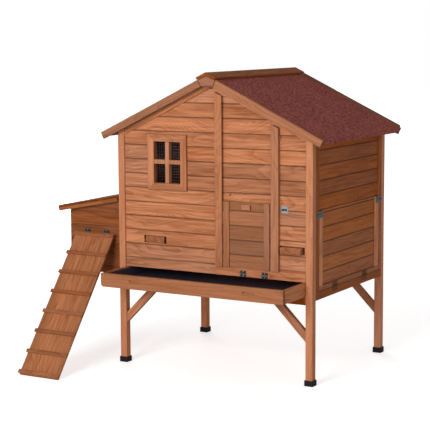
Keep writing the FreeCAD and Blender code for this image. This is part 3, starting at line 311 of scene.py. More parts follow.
@dataclass(frozen=True)
class StainedFir:
    """Fir boards under a red-brown stain: growth rings, streaks, fibres, knots and dark end grain.

    The layers' scales count features to a metre along, across and through the board.
    """

    grain: Grain
    stain: Stain
    ring_gap: float = 7.5 * MM
    contrast: float = 1.0
    lamella: float = 0.0
    level_below: float = 0.0
    level_shade: float = 0.84
    first_seam: float = 0.0
    # How dark the painted shade along the board joints is.
    seam_shade: float = 0.55
    knot_chance: float = 0.10
    knot_colour: Colour = (0.105, 0.030, 0.012)

    LAYERS = {
        "streaks": ((4.5, 80, 80), 3, 0.6, 2.3),
        "fibres": ((16, 620, 620), 2, 0.6, 0.60),
        "blotches": ((3.2, 9, 9), 2, 0.5, 0.9),
    }
    WAVER, KNOTS, KNOT_WARP = (9, 30, 30), (7.5, 13, 13), (60, 90, 90)
    BENDS = (((1.9, 5, 5), 16.5, 0.060), ((2.6, 4, 4), 21.0, 0.048))
    LOG_SHIFT = (31.0, 7.0, 5.0)
    END_VALUE, END_SATURATION = 0.66, 1.08
    RING_SHARE, BASE_DARK, ROUGHNESS, SPECULAR = 0.50, 0.26, 0.60, 0.16

    def make(self) -> bpy.types.Material:
        """Builds the timber's material."""
        bench = Bench(f"fir_{self.grain.name}_{self.stain.name}".lower())
        sides, board, draws, upright = self.board(bench)
        knot, knot_near = self.knots(bench, board)
        rings = self.rings(bench, sides, board, draws, knot_near)
        layers = {}
        dark = bench.sum("MULTIPLY", rings, self.RING_SHARE * self.contrast)
        for name, (scale, detail, rough, share) in self.LAYERS.items():
            layers[name] = bench.noise(bench.scaled(board, scale), detail=detail, rough=rough)
            share *= self.contrast
            dark = bench.sum("ADD", dark, bench.sum("MULTIPLY_ADD", layers[name], share, -0.5 * share))
        dark = bench.sum("ADD", dark, self.BASE_DARK, clamp=True)
        colour = bench.mixed(dark, *self.stain.value)
        colour = bench.mixed(bench.sum("MULTIPLY", knot, 0.85), colour, self.knot_colour)
        shade = self.shade(bench, sides, draws)
        if upright is not None:
            shade = bench.sum("MULTIPLY", shade, bench.between(upright, 0, 1, self.level_shade, 1.0))
        # Painted shade along the board joints, standing for the shadow in the grooves.
        if self.first_seam:
            shade = bench.sum("MULTIPLY", shade, self.painted_seam_shade(bench, sides[1]))
        colour = bench.toned(colour, shade, bench.between(draws[0], 0, 1, 0.97, 1.04))
        end = bench.between(bench.sum("ABSOLUTE", bench.dot(bench.facing(), self.grain.value[0])), 0.72, 0.9)
        colour = bench.mixed(end, colour, bench.toned(colour, self.END_VALUE, self.END_SATURATION))
        bench.surface(colour, bench.sum("MULTIPLY_ADD", dark, -0.10, self.ROUGHNESS), self.SPECULAR)
        relief = bench.sum("MULTIPLY_ADD", rings, 0.5, layers["fibres"])
        bench.raised(bench.sum("SUBTRACT", relief, bench.sum("MULTIPLY", knot, 0.6)), 0.45, 0.35 * MM)
        return bench.material

    def board(self, bench: Bench) -> tuple[list[Socket], Socket, list[Socket], Socket | None]:
        """Finds where the surface lies in its own board's timber.

        Args:
            bench: the material being built.

        Returns:
            The along, across and through distances, the shifted place in the log, three random values for
            the board, and whether it stands upright where both kinds share a node.
        """
        place = bench.place()
        if self.grain.mirrored:
            x, y, z = bench.parted(place)
            place = bench.joined(bench.sum("ABSOLUTE", bench.sum("SUBTRACT", x, HOUSE_MIDDLE_X)), y, z)
        sides = [bench.dot(place, axis) for axis in self.grain.value]
        upright = self.upright_members(bench, *sides[:2])
        if upright is not None:
            sides[:2] = self.turned(bench, upright, *sides[:2])
        island = bench.node("ShaderNodeNewGeometry").outputs["Random Per Island"]
        lottery = bench.lottery(bench.sum("MULTIPLY_ADD", island, 913.7, 2.3))
        split = bench.node("ShaderNodeSeparateColor")
        bench.feed(split.inputs[0], lottery.outputs["Color"])
        draws = list(split.outputs)
        moved = [
            bench.sum("MULTIPLY_ADD", draw, shift, side) for draw, shift, side in zip(draws, self.LOG_SHIFT, sides)
        ]
        return sides, bench.joined(*moved), draws, upright

    def upright_members(self, bench: Bench, first: Socket, second: Socket) -> Socket | None:
        """Tells upright members from level ones where a node holds both.

        Args:
            bench: the material being built.
            first: the distance along the grain before any turn.
            second: the distance across it.

        Returns:
            1 where the member is upright and 0 where it is level, or None where the node has one kind.
        """
        if self.level_below:
            return bench.sum("GREATER_THAN", first, self.level_below)
        if self.grain is not Grain.MITRED:
            return None
        low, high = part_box("window_frame")
        insets = []
        for place, start, end in ((first, low.x, high.x), (second, low.z, high.z)):
            offset = bench.sum("ABSOLUTE", bench.sum("SUBTRACT", place, (start + end) / 2))
            insets.append(bench.sum("SUBTRACT", offset, (end - start) / 2))
        return bench.sum("GREATER_THAN", *insets)

    def turned(self, bench: Bench, upright: Socket, first: Socket, second: Socket) -> list[Socket]:
        """Turns the grain by a right angle in the members that run the other way.

        Args:
            bench: the material being built.
            upright: whether the member is upright.
            first: the distance along the grain before any turn.
            second: the distance across it.

        Returns:
            The distances along and across each member's own grain.
        """
        pair = (first, second) if self.grain is Grain.MITRED else (second, first)
        turned = []
        for level, rise in (pair, pair[::-1]):
            made = bench.node("ShaderNodeMix", data_type="FLOAT")
            bench.feed(made.inputs[0], upright)
            bench.feed(made.inputs[2], level)
            bench.feed(made.inputs[3], rise)
            turned.append(made.outputs[0])
        return turned

    def knots(self, bench: Bench, board: Socket) -> tuple[Socket, Socket]:
        """Scatters a few oval knots.

        Args:
            bench: the material being built.
            board: the place in the log.

        Returns:
            The knots themselves and how near the surface is to one.
        """
        warp = bench.sum("MULTIPLY_ADD", bench.noise(bench.scaled(board, self.KNOT_WARP)), 0.10, -0.05)
        distance, chance = bench.cells(bench.scaled(board, self.KNOTS), 1.0)
        there = bench.sum("LESS_THAN", chance, self.knot_chance)
        distance = bench.sum("ADD", distance, warp)
        core = bench.sum("MULTIPLY", bench.between(distance, 0.12, 0.05), there)
        near = bench.sum("MULTIPLY", bench.between(distance, 0.55, 0.0), there)
        return core, near

    def rings(
        self, bench: Bench, sides: list[Socket], board: Socket, draws: list[Socket], knot_near: Socket
    ) -> Socket:
        """Cuts the board's face through the tree's growth rings.

        Args:
            bench: the material being built.
            sides: the along, across and through distances.
            board: the place in the log.
            draws: the board's random values.
            knot_near: how near the surface is to a knot.

        Returns:
            How far the wood is towards late wood, from 0 to 1.
        """
        distances = []
        for side, draw, (bend, turns, reach) in zip(sides[1:], draws, self.BENDS):
            wander = bench.noise(bench.scaled(board, bend), detail=1)
            phase = bench.sum("MULTIPLY_ADD", side, turns, bench.sum("MULTIPLY", draw, 2 * math.pi))
            phase = bench.sum("MULTIPLY_ADD", wander, 3.4, phase)
            reach = bench.sum("MULTIPLY", bench.sum("SINE", phase), reach)
            distances.append(bench.sum("MULTIPLY", reach, reach))
        radius = bench.sum("SQRT", bench.sum("ADD", *distances))
        radius = bench.sum("MULTIPLY_ADD", knot_near, 0.016, radius)
        waver = bench.noise(bench.scaled(board, self.WAVER), detail=2)
        turns = bench.sum("MULTIPLY_ADD", radius, 1 / self.ring_gap, bench.sum("MULTIPLY", waver, 1.1))
        return bench.sum("POWER", bench.sum("FRACT", turns), 2.2)

    def shade(self, bench: Bench, sides: list[Socket], draws: list[Socket]) -> Socket:
        """Makes some boards darker than others.

        Args:
            bench: the material being built.
            sides: the along, across and through distances.
            draws: the board's random values.

        Returns:
            The board's lightness.
        """
        value = bench.between(draws[2], 0, 1, 0.86, 1.10)
        if not self.lamella:
            return value
        strip = bench.sum("FLOOR", bench.sum("DIVIDE", sides[1], self.lamella))
        draw = bench.lottery(strip).outputs["Value"]
        return bench.sum("MULTIPLY", value, bench.between(draw, 0, 1, 0.80, 1.12))

    def painted_seam_shade(self, bench: Bench, across: Socket) -> Socket:
        """Darkens the boards along their tongued joints with painted shade, the shadow that falls into each groove.

        Args:
            bench: the material being built.
            across: the distance across the boards.

        Returns:
            The lightness, below 1 near a joint.
        """
        turns = bench.sum("DIVIDE", bench.sum("SUBTRACT", across, self.first_seam), BOARD_PITCH)
        offset = bench.sum("SUBTRACT", bench.sum("FRACT", bench.sum("ADD", turns, 8.5)), 0.5)
        return bench.between(bench.sum("ABSOLUTE", offset), 0.018, 0.085, self.seam_shade, 1.0)


@dataclass(frozen=True)
class RoofFelt:
    """Mineral felt: maroon granules pressed into bitumen."""

    granule: Colour = (0.500, 0.118, 0.088)
    bitumen: Colour = (0.140, 0.026, 0.022)
    pale_granule: Colour = (0.42, 0.22, 0.20)
    granule_size: float = 2.2 * MM

    def make(self) -> bpy.types.Material:
        """Builds the felt's material."""
        bench = Bench("maroon_mineral_felt")
        place = bench.place()
        distance, chance = bench.cells(place, 1 / self.granule_size)
        clumps = bench.noise(place, 92, detail=4, rough=0.8)
        patches = bench.noise(place, 9, detail=3)
        share = bench.sum("MULTIPLY_ADD", chance, 0.55, bench.sum("MULTIPLY_ADD", clumps, 5.6, -2.78))
        share = bench.sum("MULTIPLY_ADD", patches, 0.45, bench.sum("ADD", share, -0.02), clamp=True)
        colour = bench.mixed(share, self.bitumen, self.granule)
        pale = bench.sum("MULTIPLY", bench.sum("GREATER_THAN", chance, 0.965), 0.45)
        bench.surface(bench.mixed(pale, colour, self.pale_granule), bench.between(chance, 0, 1, 0.82, 0.97), 0.25)
        height = bench.sum("MULTIPLY_ADD", patches, 2.0, bench.sum("SUBTRACT", chance, distance))
        bench.raised(height, 0.55, 0.5 * MM)
        return bench.material


@dataclass(frozen=True)
class Moulded:
    """Black plastic with a faint moulded texture."""

    name: str
    colour: Colour
    roughness: float
    streak: float = 0.0

    def make(self) -> bpy.types.Material:
        """Builds the plastic's material."""
        bench = Bench(self.name)
        place = bench.place()
        scuffs = bench.noise(bench.scaled(place, (11, 160, 40)), detail=4, rough=0.65)
        dust = bench.noise(place, 26, detail=3)
        share = bench.sum("MULTIPLY_ADD", scuffs, self.streak, bench.sum("MULTIPLY", dust, 0.35))
        pale = tuple(3.2 * part for part in self.colour)
        rough = bench.sum("MULTIPLY_ADD", dust, 0.18, bench.sum("MULTIPLY_ADD", scuffs, 0.12, self.roughness - 0.15))
        bench.surface(bench.mixed(share, self.colour, pale), rough, 0.3)
        bench.raised(bench.noise(place, 900, detail=2), 0.25, 0.15 * MM)
        return bench.material


@dataclass(frozen=True)
class PlatedSteel:
    """Zinc plate, bright and faintly brushed, with dull patches."""

    name: str = "bright_zinc_plate"
    bright: Colour = (0.62, 0.63, 0.65)
    dull: Colour = (0.34, 0.34, 0.36)
    roughness: float = 0.30

    def make(self) -> bpy.types.Material:
        """Builds the plate's material."""
        bench = Bench(self.name)
        place = bench.place()
        brushed = bench.noise(bench.scaled(place, (900, 120, 2400)), detail=2)
        patches = bench.noise(place, 140, detail=3, rough=0.6)
        rough = bench.sum("MULTIPLY_ADD", brushed, 0.12, self.roughness - 0.12)
        rough = bench.sum("MULTIPLY_ADD", patches, 0.22, rough)
        bench.surface(bench.mixed(patches, self.bright, self.dull), rough)
        bench.shader.inputs["Metallic"].default_value = 1.0
        bench.raised(brushed, 0.20, 0.08 * MM)
        return bench.material


@dataclass(frozen=True)
class BlackSteel:
    """Thin black coating on pressed steel, rubbed in places."""

    coating: Colour = (0.022, 0.022, 0.026)
    rubbed: Colour = (0.120, 0.120, 0.125)

    def make(self) -> bpy.types.Material:
        """Builds the coating's material."""
        bench = Bench("black_coated_steel")
        place = bench.place()
        rubs = bench.between(bench.noise(place, 210, detail=4, rough=0.65), 0.52, 0.72)
        bench.surface(bench.mixed(rubs, self.coating, self.rubbed), bench.between(rubs, 0, 1, 0.34, 0.52))
        bench.raised(bench.noise(place, 1500, detail=2), 0.2, 0.06 * MM)
        return bench.material


@dataclass(frozen=True)
class StudioFloor:
    """Pale matt studio floor that stays near white and takes soft shadows."""

    colour: Colour = (0.86, 0.86, 0.86)
    near_lift: float = 0.60
    far_lift: float = 1.0
    near: float = 1.3
    far: float = 5.0

    def make(self) -> bpy.types.Material:
        """Builds the floor's material."""
        bench = Bench("pale_studio_floor")
        tone = bench.noise(bench.place(), 0.6, detail=1)
        pale = tuple(part * 0.985 for part in self.colour)
        bench.surface(bench.mixed(tone, self.colour, pale), 0.95, 0.0)
        bench.shader.inputs["Emission Color"].default_value = (1, 1, 1, 1)
        rays = bench.node("ShaderNodeLightPath").outputs["Is Camera Ray"]
        away = bench.node("ShaderNodeVectorMath", operation="LENGTH")
        bench.feed(away.inputs[0], bench.place())
        lift = bench.between(away.outputs["Value"], self.near, self.far, self.near_lift, self.far_lift)
        bench.feed(bench.shader.inputs["Emission Strength"], bench.sum("MULTIPLY", rays, lift))
        return bench.material


PLASTIC_CAP = Moulded("black_foot_plastic", (0.0035, 0.0030, 0.0060), 0.62)
PLASTIC_LINER = Moulded("black_liner_plastic", (0.026, 0.023, 0.034), 0.42, 0.60)
ZINC = PlatedSteel()
WORN_ZINC = PlatedSteel("worn_zinc_plate", (0.50, 0.50, 0.51), (0.20, 0.20, 0.20), 0.42)
DULL_ZINC = PlatedSteel("dull_zinc_plate", (0.33, 0.33, 0.35), (0.12, 0.12, 0.13), 0.42)
MESH_WIRE = PlatedSteel("dull_mesh_wire", (0.27, 0.26, 0.26), (0.17, 0.16, 0.16), 0.55)
STAINED_STEEL = PlatedSteel("stain_covered_steel", (0.30, 0.125, 0.058), (0.17, 0.062, 0.025), 0.60)
BRAD_STEEL = PlatedSteel("dull_brad", (0.30, 0.27, 0.25), (0.16, 0.12, 0.10), 0.50)
BLACK_STEEL = BlackSteel()


class EdgeSoftener:
    """Rounds the sawn edges of timber with modifiers, and leaves the frame's own mesh as it is."""

    LEAST_ANGLE = math.radians(24)
    FLAT_ANGLE = math.radians(0.6)
    WELD_GAP = 0.01 * MM

    def __init__(self) -> None:
        """Makes the node group that finds the outward edges."""
        self.group = self.outward_edges()

    def outward_edges(self) -> bpy.types.GeometryNodeTree:
        """Makes a group that parts touching boards and marks each outward edge for rounding.

        Returns:
            The geometry node group.
        """
        tree = bpy.data.node_groups.new("outward_edges", "GeometryNodeTree")
        add, link = tree.nodes.new, tree.links.new
        for way in ("INPUT", "OUTPUT"):
            tree.interface.new_socket("Geometry", in_out=way, socket_type="NodeSocketGeometry")
        shared = add("FunctionNodeCompare")
        shared.data_type, shared.operation = "INT", "GREATER_THAN"
        link(add("GeometryNodeInputMeshEdgeNeighbors").outputs["Face Count"], shared.inputs[2])
        shared.inputs[3].default_value = 2
        split = add("GeometryNodeSplitEdges")
        link(add("NodeGroupInput").outputs[0], split.inputs["Mesh"])
        link(shared.outputs[0], split.inputs["Selection"])
        plain = add("GeometryNodeRemoveAttribute")
        link(split.outputs[0], plain.inputs["Geometry"])
        plain.inputs["Name"].default_value = "custom_normal"
        path = plain.outputs[0]
        for domain in ("EDGE", "FACE"):
            smooth = add("GeometryNodeSetShadeSmooth")
            smooth.domain = domain
            link(path, smooth.inputs["Geometry"])
            path = smooth.outputs[0]
        outward = add("FunctionNodeCompare")
        outward.data_type, outward.operation = "FLOAT", "GREATER_THAN"
        link(add("GeometryNodeInputMeshEdgeAngle").outputs["Signed Angle"], outward.inputs[0])
        outward.inputs[1].default_value = self.LEAST_ANGLE
        store = add("GeometryNodeStoreNamedAttribute")
        store.data_type, store.domain = "FLOAT", "EDGE"
        store.inputs["Name"].default_value = "bevel_weight_edge"
        link(path, store.inputs["Geometry"])
        link(outward.outputs[0], store.inputs["Value"])
        link(store.outputs[0], add("NodeGroupOutput").inputs[0])
        return tree

    def soften(self, thing: bpy.types.Object, radius: float, steps: int = 2) -> None:
        """Rounds an object's outward edges.

        Args:
            thing: the object to round.
            radius: how far the rounding reaches from each edge.
            steps: how many flats make the rounding.
        """
        weld = thing.modifiers.new("joined_faces", "WELD")
        weld.merge_threshold = self.WELD_GAP
        flat = thing.modifiers.new("whole_faces", "DECIMATE")
        flat.decimate_type, flat.angle_limit = "DISSOLVE", self.FLAT_ANGLE
        thing.modifiers.new("outward_edges", "NODES").node_group = self.group
        bevel = thing.modifiers.new("eased_edges", "BEVEL")
        bevel.limit_method, bevel.width, bevel.segments = "WEIGHT", radius, steps
        bevel.loop_slide = False
        normals = thing.modifiers.new("even_shading", "WEIGHTED_NORMAL")
        normals.keep_sharp = False
        normals.weight = 80


def put_in_scene(name: str, data: bpy.types.ID) -> bpy.types.Object:
    """Makes an object from its data and links it to the scene."""
    thing = bpy.data.objects.new(name, data)
    bpy.context.scene.collection.objects.link(thing)
    return thing


class Workshop:
    """Dresses the frame's nodes and fits new pieces to its bodies."""

    def __init__(self, nodes: dict[str, bpy.types.Object]) -> None:
        """Takes the frame's nodes by name."""
        self.nodes = nodes
        self.softener = EdgeSoftener()
        self.finishes: dict[Finish, bpy.types.Material] = {}

    def material(self, finish: Finish) -> bpy.types.Material:
        """Gives a finish's material, made once."""
        if finish not in self.finishes:
            self.finishes[finish] = finish.make()
        return self.finishes[finish]

    def dress(self, finish: Finish, *names: str, edge: float = 0.0, steps: int = 2) -> None:
        """Gives nodes a finish, and eased edges where a size is given.

        Args:
            finish: what the nodes are made of.
            names: the nodes.
            edge: how far their edges are rounded, in metres.
            steps: how many flats make the rounding.
        """
        for name in names:
            thing = self.nodes[name]
            for place in thing.material_slots:
                place.material = self.material(finish)
            if edge:
                self.softener.soften(thing, edge, steps)
            LOG.info("dressed %s", name)

    def fit(
        self, name: str, made: bmesh.types.BMesh, body: str, finish: Finish, stands_for: Iterable[str] = ()
    ) -> bpy.types.Object:
        """Turns a finished mesh into a piece that moves with a body.

        Args:
            name: the piece's name.
            made: its mesh, which is freed.
            body: the body that it moves with.
            finish: what it is made of.
            stands_for: nodes that it replaces.

        Returns:
            The new piece.
        """
        mesh = bpy.data.meshes.new(name)
        made.to_mesh(mesh)
        made.free()
        mesh.materials.append(self.material(finish))
        thing = put_in_scene(name, mesh)
        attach(thing, body)
        if stands_for:
            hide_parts(*stands_for)
        LOG.info("made %s on %s", name, body)
        return thing

    def lumps(self, name: str) -> list[tuple[Vector, Vector]]:
        """Finds the box of each separate lump of a node.

        Args:
            name: the node.

        Returns:
            The lowest and highest corner of each lump, ordered by place.
        """
        made = bmesh.new()
        made.from_mesh(self.nodes[name].data)
        bmesh.ops.remove_doubles(made, verts=made.verts, dist=EdgeSoftener.WELD_GAP)
        boxes, seen = [], set()
        for first in made.verts:
            if first in seen:
                continue
            seen.add(first)
            waiting, found = [first], []
            while waiting:
                corner = waiting.pop()
                found.append(corner.co.copy())
                for edge in corner.link_edges:
                    other = edge.other_vert(corner)
                    if other not in seen:
                        seen.add(other)
                        waiting.append(other)
            low = Vector(min(place[axis] for place in found) for axis in range(3))
            high = Vector(max(place[axis] for place in found) for axis in range(3))
            boxes.append((low, high))
        made.free()
        return sorted(boxes, key=lambda pair: [round(part, 4) for part in (*pair[0], *pair[1])])


def standing(place: Vector, outward: Vector) -> Matrix:
    """Gives the placement of a round shape that stands on a spot and faces outward."""
    return Matrix.Translation(place) @ outward.to_track_quat("Z", "Y").to_matrix().to_4x4()


def skirt(made: bmesh.types.BMesh, lower: Corners, upper: Corners, smooth: bool) -> None:
    """Joins two rings of the same number of corners with faces.

    Args:
        made: the mesh.
        lower: the first ring.
        upper: the second ring.
        smooth: whether the faces are shaded smooth.
    """
    for step in range(len(lower)):
        after = (step + 1) % len(lower)
        made.faces.new((lower[step], lower[after], upper[after], upper[step])).smooth = smooth


def turned(made: bmesh.types.BMesh, stand: Matrix, profile: Iterable[tuple[float, float]], sides: int) -> list[Corners]:
    """Adds the rings of a turned shape and the smooth faces between them.

    Args:
        made: the mesh.
        stand: the shape's placement.
        profile: each ring's radius and level.
        sides: how many corners a ring has.

    Returns:
        The rings in order.
    """
    rings = []
    for radius, level in profile:
        angles = [2 * math.pi * step / sides for step in range(sides)]
        spots = [Vector((radius * math.cos(angle), radius * math.sin(angle), level)) for angle in angles]
        rings.append([made.verts.new(stand @ spot) for spot in spots])
    for lower, upper in zip(rings, rings[1:]):
        skirt(made, lower, upper, smooth=True)
    return rings


@dataclass(frozen=True)
class ScrewHead:
    """A pan head with a cross recess, whose profile and cross are shares of its radius and height."""

    radius: float = 3.0 * MM
    height: float = 1.3 * MM
    recess: float = 0.9 * MM
    sides: int = 24

    PROFILE = ((1.0, -0.3), (1.0, 0.35), (0.93, 0.68), (0.80, 0.90), (0.66, 1.0))
    ARM, HALF_ARM, TAPER = 0.48, 0.11, 0.8

    def add(self, made: bmesh.types.BMesh, place: Vector, outward: Vector, turn: float) -> None:
        """Adds one head to a mesh.

        Args:
            made: the mesh.
            place: the middle of the head's seat.
            outward: the way that the head faces.
            turn: how far the cross is turned, in radians.
        """
        stand = standing(place, outward) @ Matrix.Rotation(turn, 4, "Z")
        profile = [(share * self.radius, level * self.height) for share, level in self.PROFILE]
        top = turned(made, stand, profile, self.sides)[-1]
        arm, half = self.ARM * self.radius, self.HALF_ARM * self.radius
        outline = [(arm, half), (half, half), (half, arm), (-half, arm), (-half, half), (-arm, half)]
        outline += [(-across, -up) for across, up in outline]
        cross, floor = [
            [made.verts.new(stand @ Vector((across * size, up * size, level))) for across, up in outline]
            for size, level in ((1.0, self.height), (self.TAPER, self.height - self.recess))
        ]
        rim = [made.edges.new(pair) for pair in zip(cross, cross[1:] + cross[:1])]
        rim += [made.edges.get(pair) for pair in zip(top, top[1:] + top[:1])]
        bmesh.ops.triangle_fill(made, edges=rim, use_beauty=True, normal=outward)
        skirt(made, cross, floor, smooth=False)
        made.faces.new(floor)


@dataclass(frozen=True)
class BradHead:
    """A small round nail head with a shallow dome."""

    radius: float = 1.7 * MM
    height: float = 0.45 * MM
    sides: int = 14

    PROFILE = ((1.0, -0.6), (1.0, 0.35), (0.82, 0.8), (0.45, 1.0))

    def add(self, made: bmesh.types.BMesh, place: Vector, outward: Vector) -> None:
        """Adds one head to a mesh.

        Args:
            made: the mesh.
            place: the middle of the head's seat.
            outward: the way that the head faces.
        """
        profile = [(share * self.radius, level * self.height) for share, level in self.PROFILE]
        made.faces.new(turned(made, standing(place, outward), profile, self.sides)[-1]).smooth = True


class SubAssembly(Protocol):
    """What every part of the coop can do."""

    def build(self, shop: Workshop) -> None:
        """Dresses its nodes and makes its pieces."""


@dataclass
class HouseFrame:
    """Posts on plastic caps, rails, headers, studs and corner braces."""

    post_edge: float = 2.2 * MM
    rail_edge: float = 1.8 * MM
    first_turn: float = 0.4
    next_turn: float = 1.1
    screw: ScrewHead = field(default_factory=lambda: ScrewHead(4.2 * MM, 1.5 * MM))

    def build(self, shop: Workshop) -> None:
        """Dresses the frame and fits its screws."""
        shop.dress(StainedFir(Grain.UPRIGHT, Stain.POST, contrast=0.8), "posts", edge=self.post_edge)
        for grain, stain, names in (
            (Grain.UPRIGHT_SIDE, Stain.SIDE, ["wall_stiles"]),
            (Grain.ALONG_Y, Stain.SIDE, ["header_rails", "side_top_rails", "bottom_rails"]),
            (Grain.ALONG_X, Stain.WALL, ["front_sill_rail"]),
            (Grain.UPRIGHT, Stain.WALL, ["front_wall_frame"]),
            (Grain.BRACE, Stain.WALL, ["corner_braces"]),
        ):
            shop.dress(StainedFir(grain, stain), *names, edge=self.rail_edge)
        shop.dress(PLASTIC_CAP, "foot_caps")
        house_middle = sum(corner.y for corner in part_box("posts")) / 2
        made = bmesh.new()
        for number, (low, high) in enumerate(shop.lumps("frame_screws")):
            middle = (low + high) / 2
            behind = middle.y > house_middle
            seat = Vector((middle.x, low.y if behind else high.y, middle.z))
            self.screw.add(made, seat, Vector((0, 1 if behind else -1, 0)), self.first_turn + self.next_turn * number)
        shop.fit("post_screws", made, "house", ZINC, ["frame_screws"])


@dataclass
class Cladding:
    """Tongued wall boards, with a row of brads where they cross the frame."""

    board_edge: float = 2.0 * MM
    first_seam: float = 502.6 * MM
    brad_inset: float = 45 * MM
    brad_margin: float = 20 * MM
    brad: BradHead = field(default_factory=BradHead)

    def build(self, shop: Workshop) -> None:
        """Dresses the walls' boards and fits the side walls' brads."""
        # first_seam places the painted shade along the boards' joints.
        front = StainedFir(Grain.ALONG_X, Stain.WALL, first_seam=self.first_seam)
        shop.dress(front, "front_cladding", "slotted_boards", "rear_cladding", edge=self.board_edge)
        # The side walls take the darker side stain, which is partly painted shade; first_seam places the painted shade
        # along their joints.
        side = StainedFir(Grain.ALONG_Y, Stain.SIDE, first_seam=self.first_seam)
        shop.dress(side, "left_cladding", "right_cladding", edge=self.board_edge)
        self.side_brads(shop, "left_cladding", -1)
        self.side_brads(shop, "right_cladding", 1)

    def side_brads(self, shop: Workshop, node: str, way: int) -> None:
        """Fits the brads near both ends of a side wall's boards.

        Args:
            shop: the workshop.
            node: the wall's boards.
            way: 1 where the wall faces +X and -1 where it faces -X.
        """
        low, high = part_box(node)
        made = bmesh.new()
        face = high.x if way > 0 else low.x
        level = self.first_seam + BOARD_PITCH / 2
        while level < high.z - self.brad_margin:
            if level > low.z + self.brad_margin:
                for y in (low.y + self.brad_inset, high.y - self.brad_inset):
                    self.brad.add(made, Vector((face, y, level)), Vector((way, 0, 0)))
            level += BOARD_PITCH
        shop.fit(f"{node}_brads", made, "house", BRAD_STEEL)


@dataclass
class Roof:
    """Roof boards under mineral felt, with bargeboards, trims and ridge caps."""

    trim_edge: float = 2.0 * MM
    ridge_height: float = 1347 * MM
    eave_reach: float = 565 * MM
    nail_inset: float = 16 * MM
    nail_gap: float = 138 * MM
    verge_reach: tuple[float, float] = (48 * MM, 560 * MM)
    verge_width: float = 14 * MM
    verge_height: float = 11 * MM
    verge_sunk: float = 1 * MM
    nail: BradHead = field(default_factory=lambda: BradHead(3.2 * MM, 0.7 * MM, 16))

    def build(self, shop: Workshop) -> None:
        """Dresses the roof, and fits the felt's nails and the laths at its rear edge."""
        shop.dress(StainedFir(Grain.FLAT_Y, Stain.SIDE), "roof_boards", edge=0.8 * MM)
        shop.dress(StainedFir(Grain.ALONG_Y, Stain.SIDE), "eave_battens", "ridge_beam", edge=1.2 * MM)
        shop.dress(StainedFir(Grain.ROOF_SLOPE, Stain.ROOF_TRIM), "bargeboards", edge=self.trim_edge)
        shop.dress(StainedFir(Grain.ROOF_SLOPE, Stain.WALL), "gable_trims", edge=self.trim_edge)
        shop.dress(StainedFir(Grain.ALONG_X, Stain.ROOF_TRIM), "peak_plates", edge=self.trim_edge)
        shop.dress(StainedFir(Grain.FLAT_Y, Stain.SIDE), "ridge_caps", edge=2.6 * MM, steps=3)
        shop.dress(RoofFelt(), "roof_felt", edge=1.0 * MM)
        self.eave_nails(shop)
        self.rear_verge_laths(shop)

    def on_slope(self, way: int, reach: float, y: float, rise: float = 0.0) -> Vector:
        """Finds a place on the felt or above it.

        Args:
            way: 1 for the right slope and -1 for the left one.
            reach: how far the place is from the ridge, measured level.
            y: how far back it is.
            rise: how far it stands off the felt.

        Returns:
            The place.
        """
        level = self.ridge_height - reach * math.tan(ROOF_PITCH) + rise / math.cos(ROOF_PITCH)
        return Vector((HOUSE_MIDDLE_X + way * reach, y, level))

    def rear_verge_laths(self, shop: Workshop) -> None:
        """Fits the lath that stands above the felt along its rear edge, one on each slope.

        Args:
            shop: the workshop.
        """
        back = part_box("bargeboards")[1].y
        start, end = self.verge_reach
        under, over = -self.verge_sunk, self.verge_height
        outline = ((start, under), (end, under), (end, over), (start, over))
        made = bmesh.new()
        for way in (-1, 1):
            near, far = [
                [made.verts.new(self.on_slope(way, reach, y, rise)) for reach, rise in outline]
                for y in (back - self.verge_width, back)
            ]
            made.faces.new(near)
            made.faces.new(far)
            skirt(made, near, far, smooth=False)
        bmesh.ops.recalc_face_normals(made, faces=made.faces)
        # The laths' very dark stain is painted shade, for the shade that falls on the rear bargeboard's inner face.
        finish = StainedFir(Grain.ROOF_SLOPE, Stain.SHADED_VERGE)
        laths = shop.fit("rear_verge_laths", made, "house", finish)
        shop.softener.soften(laths, self.trim_edge)

    def eave_nails(self, shop: Workshop) -> None:
        """Fits the flat nails that hold the felt down along both eaves.

        Args:
            shop: the workshop.
        """
        low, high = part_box("roof_felt")
        first, last = low.y + self.nail_inset, high.y - self.nail_inset
        count = round((last - first) / self.nail_gap)
        made = bmesh.new()
        for way in (-1, 1):
            outward = Vector((way * math.sin(ROOF_PITCH), 0, math.cos(ROOF_PITCH)))
            for number in range(count + 1):
                y = first + (last - first) * number / count
                self.nail.add(made, self.on_slope(way, self.eave_reach - self.nail_inset, y), outward)
        shop.fit("felt_nails", made, "house", BRAD_STEEL)


@dataclass
class WindowUnit:
    """Mitred window frame with lapped glazing bars over welded wire mesh."""

    wire_pitch: float = 12.7 * MM
    wire_radius: float = 0.6 * MM
    edge: float = 1.8 * MM
    bar_edge: float = 1.5 * MM
    sides: int = 8

    def build(self, shop: Workshop) -> None:
        """Dresses the frame and replaces the mesh with round wires."""
        shop.dress(StainedFir(Grain.MITRED, Stain.WALL, contrast=0.8), "window_frame", edge=self.edge)
        shop.dress(StainedFir(Grain.UPRIGHT, Stain.WALL, contrast=0.8), "window_bars", edge=self.bar_edge)
        low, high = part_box("window_mesh")
        made = bmesh.new()
        start, depth = low.x + self.wire_radius, low.y + self.wire_radius
        while start < high.x:
            self.wire(made, Vector((start, depth, low.z)), Vector((start, depth, high.z)))
            start += self.wire_pitch
        start, depth = low.z + self.wire_radius, high.y - self.wire_radius
        while start < high.z:
            self.wire(made, Vector((low.x, depth, start)), Vector((high.x, depth, start)))
            start += self.wire_pitch
        shop.fit("window_wires", made, "house", MESH_WIRE, ["window_mesh"])

    def wire(self, made: bmesh.types.BMesh, first: Vector, last: Vector) -> None:
        """Adds one straight wire.

        Args:
            made: the mesh.
            first: where the wire starts.
            last: where it ends.
        """
        run = last - first
        profile = ((self.wire_radius, 0.0), (self.wire_radius, run.length))
        start, end = turned(made, standing(first, run), profile, self.sides)
        made.faces.new(start[::-1])
        made.faces.new(end)


